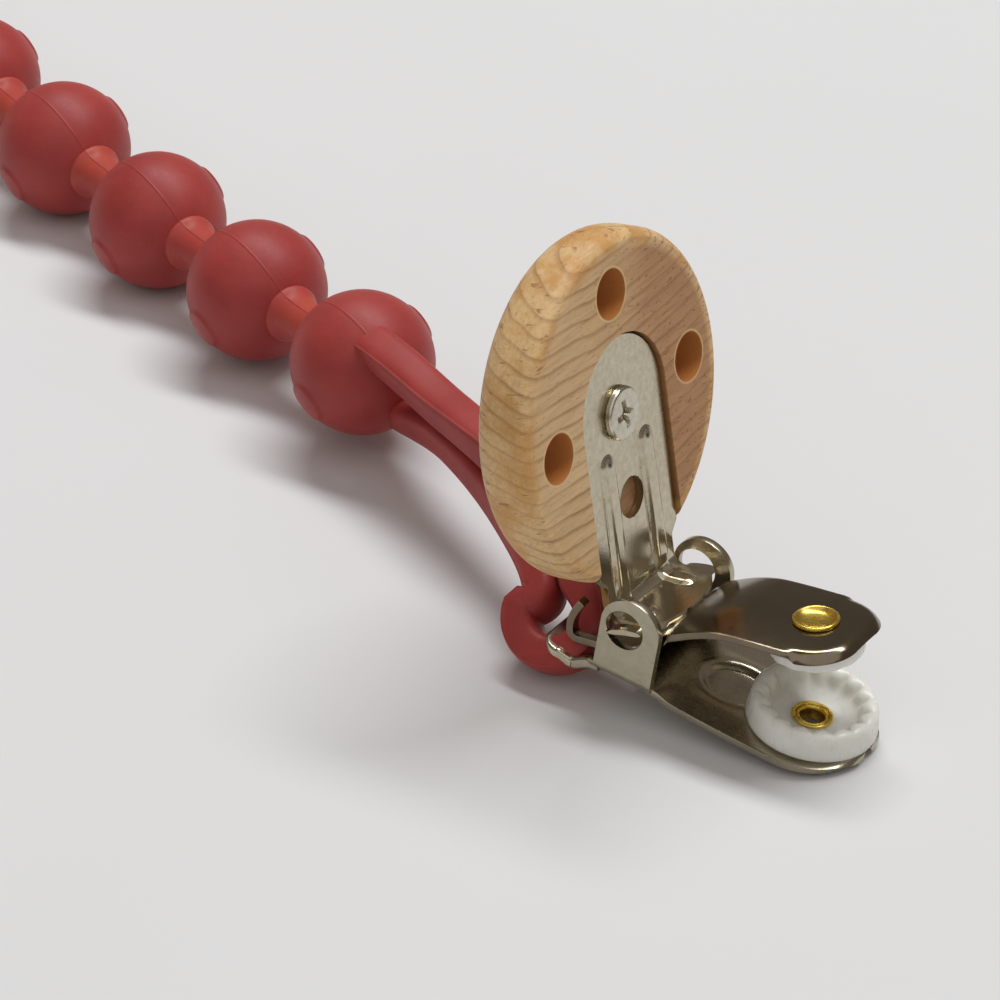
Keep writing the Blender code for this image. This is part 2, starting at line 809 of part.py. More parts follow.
tab_reach = ear_outer + trunnion_proud
for side, name in ((-1, "near_trunnion"), (1, "far_trunnion")):
    start, end = sorted((side * (lever_neck_width / 2 - 0.8 * mm), side * tab_reach))
    tab = helper(
        name,
        box_mesh(
            name,
            (-trunnion_width / 2, start, -trunnion_thickness / 2),
            (trunnion_width / 2, end, trunnion_thickness / 2),
        ),
        lever_plate,
        rotation=(0, lip_angle, 0),
    )
    boolean(lever_plate, tab, "UNION")

# Round holes through the plate: an open one below and the screw's above
screw_z = lever_reach + screw_rise
shank_hole = screw_shank_diameter / 2 + seat_gap
hole_z = lever_reach - plate_hole_drop
for name, radius, z in (
    ("screw_hole", shank_hole, screw_z),
    ("plate_hole", plate_hole_diameter / 2, hole_z),
):
    hole = helper(name, rod_mesh(name, radius, (plate_mid - mm, 0, z), (plate_mid + mm, 0, z)), lever_plate)
    boolean(lever_plate, hole, "DIFFERENCE")

# Wooden disc, turned, with the plate's recess, three vents and a pilot hole
disc_radius = disc_diameter / 2
disc_profile = [(0, disc_thickness)]
disc_profile += arc(
    (disc_radius - disc_back_round, disc_thickness - disc_back_round), disc_back_round, 90, 0, 4
)
disc_profile += arc((disc_radius - disc_face_round, disc_face_round), disc_face_round, 0, -90, 6)
disc_profile += [(0, 0)]
disc_x = -disc_set_back - disc_thickness
wood_disc = piece(
    "wood_disc",
    turned("wood_disc", disc_profile),
    "wood",
    lever_axis,
    (disc_x, 0, lever_reach),
    (0, math.pi / 2, 0),
)
spin(wood_disc, round_steps)
recess_floor = plate_back - seat_gap
recess_half = lever_width / 2 + seat_gap
recess_outline = [(recess_half, -disc_diameter), (recess_half, lever_top - lever_width / 2)]
recess_outline += arc((0, lever_top - lever_width / 2), recess_half, 0, 180, 16)
recess_outline += [(-recess_half, -disc_diameter)]
recess_depth = -disc_set_back - recess_floor
recess = helper(
    "recess",
    outline_mesh("recess", recess_outline, 2 * recess_depth),
    wood_disc,
    (-disc_set_back, 0, lever_reach),
    (0, 0, math.pi / 2),
)
boolean(wood_disc, recess, "DIFFERENCE")
for i, degrees in enumerate(vent_angles):
    y = vent_circle_radius * math.cos(math.radians(degrees))
    z = lever_reach + vent_circle_radius * math.sin(math.radians(degrees))
    name = f"vent_{i}"
    vent = helper(name, rod_mesh(name, vent_diameter / 2, (disc_x - mm, y, z), (mm, y, z), 24), wood_disc)
    boolean(wood_disc, vent, "DIFFERENCE")
pilot_end = plate_back - screw_length
pilot = helper(
    "pilot",
    rod_mesh("pilot", shank_hole, (pilot_end - seat_gap, 0, screw_z), (mm, 0, screw_z), 24),
    wood_disc,
)
boolean(wood_disc, pilot, "DIFFERENCE")

# Screw: pan head with a cross recess, seated on the plate
head = screw_head_diameter / 2
shank = screw_shank_diameter / 2
head_base = plate_front + seat_gap
screw_profile = [(0, screw_head_height)]
screw_profile += [
    (head * math.sin(a), screw_head_height * (0.35 + 0.65 * math.cos(a)))
    for a in [math.pi / 2 * i / 8 for i in range(1, 9)]
]
shank_length = head_base - pilot_end
screw_profile += [
    (head, 0),
    (shank, 0),
    (shank, -shank_length + 0.8 * mm),
    (0.3 * mm, -shank_length),
    (0, -shank_length),
]
lever_screw = piece(
    "lever_screw",
    turned("lever_screw", screw_profile),
    "screw_steel",
    lever_axis,
    (head_base, 0, screw_z),
    (0, math.pi / 2, 0),
)
spin(lever_screw, rivet_steps)
for name, size in (("slot_a", (cross_width, cross_length)), ("slot_b", (cross_length, cross_width))):
    slot = helper(
        name,
        box_mesh(
            name,
            (head_base + screw_head_height - cross_depth, -size[0] / 2, screw_z - size[1] / 2),
            (head_base + 2 * screw_head_height, size[0] / 2, screw_z + size[1] / 2),
        ),
        lever_screw,
    )
    boolean(lever_screw, slot, "DIFFERENCE")


def loop_rings(medial, guides, spread, thickness, width, end_radius, steps):
    """Sections of a long loop: out along one leg, round the end, and back.

    medial: points from the root to the end's centre. guides: which way the first leg
    lies from it. spread: half the distance between the legs at each point.
    """
    count = len(medial) - 1
    places = []
    for i, point in enumerate(medial):
        along = (medial[min(i + 1, count)] - medial[max(i - 1, 0)]).normalized()
        aside = guides[i] - along * guides[i].dot(along)
        aside.normalize()
        places.append((point, along, aside, aside.cross(along)))
    path = [(p + aside * spread[i], flat) for i, (p, along, aside, flat) in enumerate(places)]
    centre, along, aside, flat = places[-1]
    for i in range(1, steps):
        angle = math.pi * i / steps
        offset = aside * math.cos(angle) + along * math.sin(angle)
        path.append((centre + offset * end_radius, flat))
    back = [(p - aside * spread[i], flat) for i, (p, along, aside, flat) in enumerate(places)]
    path += reversed(back)
    rings = []
    last = len(path) - 1
    for i, (point, flat) in enumerate(path):
        along = (path[min(i + 1, last)][0] - path[max(i - 1, 0)][0]).normalized()
        across = flat.cross(along).normalized()
        up = along.cross(across)
        ring = []
        for k in range(12):
            angle = 2 * math.pi * k / 12
            c, s = math.cos(angle), math.sin(angle)
            a = math.copysign(abs(c) ** 0.75, c) * thickness / 2
            b = math.copysign(abs(s) ** 0.75, s) * width / 2
            ring.append(point + across * a + up * b)
        rings.append(ring)
    return rings


bead_radius = bead_diameter / 2
bar_centre = clip_origin + clip_turn @ Vector((-ring_bar_x, -loop_side, bar_z))
first_dir = Vector((math.cos(first_bead_turn), math.sin(first_bead_turn), 0))
first_centre = bar_centre + first_dir * first_bead_back
first_centre.z = table + bead_radius + bead_rise[0]
heading = -first_dir
start_pull = heading * math.cos(loop_rise) + Vector((0, 0, math.sin(loop_rise)))
handle_a = first_centre + start_pull * loop_start_pull
handle_b = bar_centre + (Vector((0, 0, 1)) - heading * 0.12) * loop_end_pull
medial = []
guides = []
first_guide = (Vector((0, 0, 1)) * 0.87 + first_dir.cross(Vector((0, 0, 1))) * -0.5).normalized()
loop_steps = 24
for i in range(loop_steps + 1):
    t = 0.045 + (1 - 0.045) * i / loop_steps
    a, b, c, d = (1 - t) ** 3, 3 * t * (1 - t) ** 2, 3 * t * t * (1 - t), t**3
    medial.append(first_centre * a + handle_a * b + handle_b * c + bar_centre * d)
    guides.append(first_guide * (1 - t) + Vector((1, 0, 0)) * t)
spread = []
for point in medial:
    from_bar = (point - bar_centre).length
    from_ball = (point - first_centre).length
    half = (leg_thickness + leg_gap) / 2
    half += (end_radius - half) * (1 - ease(from_bar / (6 * mm)))
    half += (root_spread / 2 - half) * (1 - ease((from_ball - 0.3 * bead_radius) / (2.2 * bead_radius)))
    spread.append(half)
clip_loop_rings = [
    [point - bar_centre for point in ring]
    for ring in loop_rings(medial, guides, spread, leg_thickness, leg_width, end_radius, 12)
]
clip_loop = piece(
    "clip_loop", loft_mesh("clip_loop", clip_loop_rings), "silicone", location=bar_centre
)
first_ball = helper(
    "first_ball",
    ball_mesh("first_ball", bead_radius, (0, 0, 0)),
    clip_loop,
    first_centre,
    (0, 0, strand_heading),
)
boolean(clip_loop, first_ball, "UNION")

# Bead links: each carries the neck that ends as a rounded tip in a dimple of the one before
neck_radius = neck_diameter / 2
dimple_radius = neck_radius + neck_clearance
flat_heading = Vector((math.cos(strand_heading), math.sin(strand_heading), 0))
centres = [first_centre]
for i in range(1, bead_count):
    rise = bead_rise[i] if i < len(bead_rise) else 0
    drop = centres[-1].z - (table + bead_radius + rise)
    step = flat_heading * math.sqrt(bead_pitch**2 - drop**2) - Vector((0, 0, drop))
    centres.append(centres[-1] + step)
link_ball = bead_pitch - bead_radius


def dimple(target, index):
    """The socket on the far side of a bead for the next link's tip."""
    step = (centres[index + 1] - centres[index]).normalized()
    spot = centres[index] + step * bead_radius
    name = f"dimple_{index + 1}"
    made = helper(name, ball_mesh(name, dimple_radius, (0, 0, 0), 12), target)
    made.parent = None
    made.location = spot
    boolean(target, made, "DIFFERENCE")


dimple(clip_loop, 0)
link_rings = []
for i in range(1, 5):
    angle = math.pi / 2 * i / 4
    radius = neck_radius * math.sin(angle)
    link_rings.append((-neck_radius * math.cos(angle), radius))
neck_end = link_ball - bead_radius * 0.8
for i in range(1, 5):
    share = i / 4
    flare = 0.9 * mm * ease((share - 0.55) / 0.45) ** 2
    link_rings.append((neck_end * share, neck_radius + flare))
links = []
for i in range(1, bead_count):
    step = (centres[i] - centres[i - 1]).normalized()
    spot = centres[i - 1] + step * bead_radius
    turn = step.to_track_quat("X", "Z").to_euler()
    name = f"bead_{i + 1}"
    link = piece(
        name,
        ball_mesh(name, bead_radius, (link_ball, 0, 0)),
        "silicone",
        location=spot,
        rotation=turn,
    )
    around = [2 * math.pi * k / 12 for k in range(12)]
    rings = [[Vector((x, r * math.cos(a), r * math.sin(a))) for a in around] for x, r in link_rings]
    neck = helper(f"neck_{i + 1}", loft_mesh(f"neck_{i + 1}", rings), link, spot, turn)
    boolean(link, neck, "UNION")
    if i < bead_count - 1:
        dimple(link, i)
    links.append(link)

# Soother loop on the last bead, lying down to the table
last_link = links[-1]
last_centre = centres[-1]
soother_radius = (soother_loop_width - soother_leg_thickness) / 2
loop_reach = bead_radius + soother_loop_length - soother_radius - soother_leg_thickness / 2
soother_medial = []
soother_spread = []
side_guide = Vector((0, 0, 1)).cross(flat_heading)
low = table + leg_width / 2
for i in range(soother_steps + 1):
    share = i / soother_steps
    along = bead_radius * 0.4 + (loop_reach - bead_radius * 0.4) * share
    height = last_centre.z + (low - last_centre.z) * ease(share / 0.85)
    point = last_centre + flat_heading * along
    soother_medial.append(Vector((point.x, point.y, height)))
    soother_spread.append(root_spread / 2 + (soother_radius - root_spread / 2) * ease(share / 0.6))
soother_rings = loop_rings(
    soother_medial,
    [side_guide] * (soother_steps + 1),
    soother_spread,
    soother_leg_thickness,
    leg_width,
    soother_radius,
    soother_steps,
)
soother_loop = helper("soother_loop", loft_mesh("soother_loop", soother_rings), clip_loop)
boolean(last_link, soother_loop, "UNION")
last_link.name = "soother_loop_bead"
clip_loop.name = "clip_loop_bead"

bpy.context.view_layer.update()
print("table at", round(table / mm, 3), "mm; beads at", [tuple(round(v / mm, 2) for v in c) for c in centres])
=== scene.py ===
import json
import math

import bmesh
import bpy
from mathutils import Matrix, Vector

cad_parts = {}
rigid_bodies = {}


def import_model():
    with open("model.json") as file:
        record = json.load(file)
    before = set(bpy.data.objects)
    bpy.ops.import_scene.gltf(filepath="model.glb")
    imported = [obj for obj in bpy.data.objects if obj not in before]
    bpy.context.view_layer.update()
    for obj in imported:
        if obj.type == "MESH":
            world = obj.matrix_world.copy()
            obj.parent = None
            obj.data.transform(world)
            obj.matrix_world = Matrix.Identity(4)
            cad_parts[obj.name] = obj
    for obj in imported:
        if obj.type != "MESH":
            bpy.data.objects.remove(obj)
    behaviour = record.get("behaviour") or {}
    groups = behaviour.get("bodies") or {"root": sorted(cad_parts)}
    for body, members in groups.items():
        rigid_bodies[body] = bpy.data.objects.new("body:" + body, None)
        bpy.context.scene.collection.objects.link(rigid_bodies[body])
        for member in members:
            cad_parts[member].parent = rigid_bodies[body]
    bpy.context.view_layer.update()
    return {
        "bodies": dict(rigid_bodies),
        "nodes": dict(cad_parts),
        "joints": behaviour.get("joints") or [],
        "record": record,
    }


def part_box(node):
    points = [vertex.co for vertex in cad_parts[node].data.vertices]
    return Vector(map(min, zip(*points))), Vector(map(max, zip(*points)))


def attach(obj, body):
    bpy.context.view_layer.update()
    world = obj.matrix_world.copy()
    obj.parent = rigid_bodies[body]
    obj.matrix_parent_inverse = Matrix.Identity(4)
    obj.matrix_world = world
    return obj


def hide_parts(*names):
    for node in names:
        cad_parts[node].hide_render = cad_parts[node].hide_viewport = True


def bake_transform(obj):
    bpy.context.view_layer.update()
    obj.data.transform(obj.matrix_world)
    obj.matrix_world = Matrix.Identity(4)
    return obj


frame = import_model()
mm = 0.001
scene = bpy.context.scene
print("frame loaded:", len(frame["nodes"]), "nodes")

# Pose of the clip as it lies on the table; the origin is the centre of the disc's outer face
pose = {
    "leverLean": math.radians(8.905),
    "clipPitch": math.radians(8.795),
    "jawOpen": math.radians(12.0),
    "pivot": Vector((2.7 * mm, 0, 5.6 * mm)),  # lever's pivot in the clip's frame
    "heel": Vector((-3.6 * mm, 0, 0.675 * mm)),  # jaw's heel in the clip's frame
    "leverReach": 20.7 * mm,  # pivot to the disc's middle
    "discBack": 1.5 * mm,  # disc's back face behind the pivot
    "discThickness": 7.0 * mm,
}
leverTurn = Matrix.Rotation(-pose["leverLean"], 4, "Y")
clipTurn = Matrix.Rotation(pose["clipPitch"], 4, "Y")
pivotPlace = leverTurn @ Vector((pose["discBack"] + pose["discThickness"], 0, -pose["leverReach"]))
clipFrame = Matrix.Translation(pivotPlace - clipTurn @ pose["pivot"]) @ clipTurn
leverFrame = Matrix.Translation(pivotPlace) @ leverTurn
jawFrame = clipFrame @ Matrix.Translation(pose["heel"]) @ Matrix.Rotation(-pose["jawOpen"], 4, "Y")
tableHeight = min(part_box(name)[0].z for name in frame["nodes"])


# Camera first: the photograph's own angle, from a least-squares fit
view = {
    "azimuth": math.radians(32.775),
    "elevation": math.radians(31.029),
    "roll": math.radians(0.330),
    "place": Vector((206.18, -331.99, 223.26)) * mm,
    "lens": 165.6,
}


def addCamera():
    sa, ca = math.sin(view["azimuth"]), math.cos(view["azimuth"])
    se, ce = math.sin(view["elevation"]), math.cos(view["elevation"])
    look = Vector((-sa * ce, ca * ce, -se))
    right = Vector((ca, sa, 0))
    up = right.cross(look)
    cr, sr = math.cos(view["roll"]), math.sin(view["roll"])
    rightRolled = right * cr + up * sr
    upRolled = up * cr - right * sr
    data = bpy.data.cameras.new("camera")
    data.lens = view["lens"]
    data.sensor_width = 36
    data.clip_start = 0.02
    data.clip_end = 20
    camera = bpy.data.objects.new("camera", data)
    scene.collection.objects.link(camera)
    turn = Matrix((rightRolled, upRolled, -look)).transposed().to_4x4()
    camera.matrix_world = Matrix.Translation(view["place"]) @ turn
    scene.camera = camera


addCamera()
print("camera placed")


# Small mesh tools
def objectFrom(name, work, angle=40):
    mesh = bpy.data.meshes.new(name)
    bmesh.ops.recalc_face_normals(work, faces=work.faces)
    work.to_mesh(mesh)
    work.free()
    mesh.shade_smooth()
    mesh.set_sharp_from_angle(angle=math.radians(angle))
    made = bpy.data.objects.new(name, mesh)
    scene.collection.objects.link(made)
    return made


def settle(made):
    # applies what modifiers the piece carries
    bpy.context.view_layer.update()
    graph = bpy.context.evaluated_depsgraph_get()
    mesh = bpy.data.meshes.new_from_object(made.evaluated_get(graph))
    old = made.data
    made.modifiers.clear()
    made.data = mesh
    bpy.data.meshes.remove(old)
    return made


def shape(made, other, operation="DIFFERENCE"):
    # cuts or joins with a helper, then drops the helper
    if isinstance(other, bmesh.types.BMesh):
        other = objectFrom("helper", other)
    step = made.modifiers.new("shape", "BOOLEAN")
    step.operation = operation
    step.object = other
    step.solver = "EXACT"
    settle(made)
    bpy.data.objects.remove(other, do_unlink=True)


def soften(made, width, segments=2, angle=38):
    edge = made.modifiers.new("edge", "BEVEL")
    edge.width = width
    edge.segments = segments
    edge.limit_method = "ANGLE"
    edge.angle_limit = math.radians(angle)
    edge.use_clamp_overlap = True
    weight = made.modifiers.new("weight", "WEIGHTED_NORMAL")
    weight.keep_sharp = True
    made.data.shade_smooth()
    settle(made)


def loftWork(rings, closed=False, capped=True):
    work = bmesh.new()
    rows = [[work.verts.new(point) for point in ring] for ring in rings]
    count = len(rows[0])
    pairs = list(zip(rows, rows[1:]))
    if closed:
        pairs.append((rows[-1], rows[0]))
    for row, after in pairs:
        for i in range(count):
            j = (i + 1) % count
            work.faces.new((row[i], row[j], after[j], after[i]))
    if capped and not closed:
        work.faces.new(list(reversed(rows[0])))
        work.faces.new(rows[-1])
    return work


def gridWork(rows):
    work = bmesh.new()
    grid = [[work.verts.new(point) for point in row] for row in rows]
    for row, after in zip(grid, grid[1:]):
        for i in range(len(row) - 1):
            work.faces.new((row[i], row[i + 1], after[i + 1], after[i]))
    return work


def thicken(made, thickness):
    sheet = made.modifiers.new("sheet", "SOLIDIFY")
    sheet.thickness = thickness
    sheet.offset = 0
    sheet.use_even_offset = True
    settle(made)


def rodWork(radius, start, end, steps=48, endRadius=None):
    work = bmesh.new()
    start, end = Vector(start), Vector(end)
    turn = (end - start).to_track_quat("Z", "Y").to_matrix().to_4x4()
    bmesh.ops.create_cone(
        work,
        cap_ends=True,
        segments=steps,
        radius1=radius,
        radius2=radius if endRadius is None else endRadius,
        depth=(end - start).length,
        matrix=Matrix.Translation((start + end) / 2) @ turn,
    )
    return work


def boxWork(low, high):
    work = bmesh.new()
    bmesh.ops.create_cube(work, size=1)
    low, high = Vector(low), Vector(high)
    middle, size = (low + high) / 2, high - low
    for vert in work.verts:
        vert.co = Vector([c * s for c, s in zip(vert.co, size)]) + middle
    return work


def turnedRings(profile, steps, wave=None):
    # profile of (radius, height) round Z; wave changes a point's radius and height by angle
    rings = []
    for index, (radius, height) in enumerate(profile):
        ring = []
        for i in range(steps):
            angle = 2 * math.pi * i / steps
            r, h = (radius, height) if wave is None else wave(index, radius, height, angle)
            ring.append((r * math.cos(angle), r * math.sin(angle), h))
        rings.append(ring)
    return rings


def arc(cx, cz, radius, start, end, count):
    angles = [math.radians(start + (end - start) * i / count) for i in range(count + 1)]
    return [(cx + radius * math.cos(a), cz + radius * math.sin(a)) for a in angles]


def prismWork(outline, low, high, axis="Y"):
    # an outline pushed through along Y (outline in x, z) or along X (outline in y, z)
    def put(point, depth):
        return (point[0], depth, point[1]) if axis == "Y" else (depth, point[0], point[1])

    return loftWork([[put(p, low) for p in outline], [put(p, high) for p in outline]])


def ease(value):
    value = min(max(value, 0.0), 1.0)
    return value * value * (3 - 2 * value)


def through(points, count):
    # a smooth line through the points
    found = []
    last = len(points) - 1
    for step in range(count + 1):
        place = step * last / count
        i = min(int(place), last - 1)
        t = place - i
        a = Vector(points[max(i - 1, 0)])
        b, c = Vector(points[i]), Vector(points[i + 1])
        d = Vector(points[min(i + 2, last)])
        square, cube = 2 * a - 5 * b + 4 * c - d, 3 * b - a - 3 * c + d
        found.append(0.5 * (2 * b + (c - a) * t + square * t * t + cube * t**3))
    return found


def dress(made, place, look, body, node):
    # the place goes into the mesh; a piece with no node of its own has None
    made.data.transform(place)
    made.data.materials.clear()
    made.data.materials.append(look)
    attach(made, body)
    if node:
        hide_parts(node)


# Materials and finishes
class Look:
    # a Principled material with short calls for its nodes
    def __init__(self, name, colour, roughness, metallic=0.0, frame=None):
        self.made = bpy.data.materials.new(name)
        self.made.use_nodes = True
        self.tree = self.made.node_tree
        self.shader = self.tree.nodes["Principled BSDF"]
        self.set("Base Color", (*colour, 1))
        self.set("Roughness", roughness)
        self.set("Metallic", metallic)
        self.place = self.add("ShaderNodeTexCoord").outputs["Object"]
        self.heights = []
        if frame is not None:  # the piece's own lengths, from the clip's or the lever's frame
            turn, spot = frame.to_euler(), frame.translation
            inputs = {"Vector": self.place, "Location": spot, "Rotation": turn}
            self.place = self.add("ShaderNodeMapping", inputs, vector_type="TEXTURE").outputs[0]

    def set(self, name, value):
        self.shader.inputs[name].default_value = value

    def add(self, kind, inputs=None, **settings):
        node = self.tree.nodes.new(kind)
        for key, value in settings.items():  # before the sockets, as some settings add them
            setattr(node, key, value)
        for key, value in (inputs or {}).items():
            if isinstance(value, bpy.types.NodeSocket):
                self.tree.links.new(value, node.inputs[key])
            else:
                node.inputs[key].default_value = value
        return node

    def feed(self, name, socket):
        self.tree.links.new(socket, self.shader.inputs[name])

    def maths(self, operation, first, second=0.0, third=0.0, clamp=False):
        node = self.add("ShaderNodeMath", {0: first, 1: second, 2: third}, operation=operation)
        node.use_clamp = clamp
        return node.outputs[0]

    def times(self, first, second):
        return self.maths("MULTIPLY", first, second)

    def scaled(self, socket, share, base):
        return self.maths("MULTIPLY_ADD", socket, share, base)

    def apart(self):
        node = self.add("ShaderNodeSeparateXYZ", {0: self.place})
        return node.outputs[0], node.outputs[1], node.outputs[2]

    def stretched(self, scale, turn=(0, 0, 0)):
        inputs = {"Vector": self.place, "Scale": scale, "Rotation": turn}
        return self.add("ShaderNodeMapping", inputs).outputs[0]

    def noise(self, scale, detail=3.0, rough=0.5, where=None):
        inputs = {"Scale": scale, "Detail": detail, "Roughness": rough}
        inputs["Vector"] = where or self.place
        return self.add("ShaderNodeTexNoise", inputs).outputs["Fac"]

    def ramp(self, socket, stops):
        node = self.add("ShaderNodeValToRGB", {0: socket})
        marks = node.color_ramp.elements
        while len(marks) < len(stops):
            marks.new(0.5)
        for mark, (position, colour) in zip(marks, stops):
            mark.position = position
            if not isinstance(colour, tuple):
                colour = (colour, colour, colour)
            mark.color = (*colour, 1)
        return node.outputs[0]

    def rise(self, socket, low, high):
        return self.ramp(socket, [(low, 0.0), (high, 1.0)])

    def mix(self, share, first, second, blend="MIX"):
        node = self.add("ShaderNodeMix", data_type="RGBA", blend_type=blend)
        for index, value in ((0, share), (6, first), (7, second)):
            if isinstance(value, bpy.types.NodeSocket):
                self.tree.links.new(value, node.inputs[index])
            else:
                node.inputs[index].default_value = value if index == 0 else (*value, 1)
        return node.outputs[2]

    def gap(self, first, second):
        inputs = {0: first, 1: second}
        return self.add("ShaderNodeVectorMath", inputs, operation="DISTANCE").outputs["Value"]

    def relief(self, height, distance, strength=1.0):
        inputs = {"Height": height, "Distance": distance, "Strength": strength}
        if self.heights:
            inputs["Normal"] = self.heights[-1]
        self.heights.append(self.add("ShaderNodeBump", inputs).outputs[0])
        self.feed("Normal", self.heights[-1])


# Metals: bright and dark tone, roughness and its spread, mottling, scratches, speckle
metals = {
    "baseNickel": ((0.50, 0.45, 0.345), (0.43, 0.385, 0.285), 0.22, 0.06, 700, 0.25, 0.3),
    "jawNickel": ((0.25, 0.205, 0.145), (0.20, 0.16, 0.11), 0.14, 0.06, 420, 0.15, 0.0),
    "ringNickel": ((0.66, 0.61, 0.48), (0.54, 0.48, 0.36), 0.18, 0.08, 900, 0.2, 0.0),
    "eyeletBrass": ((0.80, 0.57, 0.10), (0.66, 0.47, 0.10), 0.2, 0.12, 1300, 0.3, 0.0),
    "screwNickel": ((0.64, 0.60, 0.50), (0.52, 0.48, 0.39), 0.2, 0.12, 1200, 0.3, 0.0),
}


def metalLook(name):
    colour, dark, roughness, spread, mottle, scratch, speckle = metals[name]
    look = Look(name, colour, roughness, 1.0)
    cloud = look.noise(mottle, 4.0, 0.6)
    grit = look.noise(5200, 2.0, 0.6)
    lines = look.noise(1.0, 2.0, 0.6, look.stretched((900, 9000, 9000), (0, 0.3, 0.5)))
    tone = look.mix(look.rise(cloud, 0.32, 0.7), dark, colour)
    look.feed("Base Color", tone)
    dull = look.ramp(cloud, [(0.3, 1.0), (0.7, 0.0)])
    rough = look.scaled(dull, spread, roughness)
    rough = look.scaled(look.rise(lines, 0.6, 0.75), spread, rough)
    look.feed("Roughness", look.maths("MAXIMUM", rough, 0.04))
    look.relief(lines, 0.000012, scratch)
    look.relief(grit, 0.00001, 0.2 + speckle)
    return look.made


baseMade, jawMade, ringMade, brassMade, screwMade = [metalLook(name) for name in metals]
print("metals ready")


# Wooden disc, in the lever's frame: its axis is X
disc = {
    "radius": 17.5 * mm,
    "backRound": 1.6 * mm,
    "faceRound": 3.4 * mm,
    "ventRadius": 2.5 * mm,
    "ventCircle": 12.0 * mm,
    "recessDepth": 1.55 * mm,
    "recessHalf": 7.5 * mm,
    "recessTop": 7.1 * mm,
    "recessPlay": 0.3 * mm,
    "steps": 192,
}


# Its wood: fibres along Y, growth lines across the lever's line
wood = {
    "pale": (0.70, 0.47, 0.245),
    "tan": (0.63, 0.395, 0.18),
    # darker brown for the far side, partly painted shade
    "farBrownAndShade": (0.43, 0.205, 0.078),
    "cream": (0.72, 0.475, 0.225),
    "honey": (0.56, 0.275, 0.07),
    "line": (0.29, 0.125, 0.04),
    "pore": (0.18, 0.085, 0.035),
    # painted shade for the recess floor and walls
    "recessShadeBrown": (0.24, 0.10, 0.03),
    "vent": (0.52, 0.20, 0.045),
    "ventEdgePale": (0.74, 0.53, 0.27),
    "ringWidth": 1.55 * mm,
    "ringBow": 6.0,  # how far the growth lines curve across the disc
    "ringSlope": 0.42,
    "wander": 2.1 * mm,
    "ripple": 0.12 * mm,
}


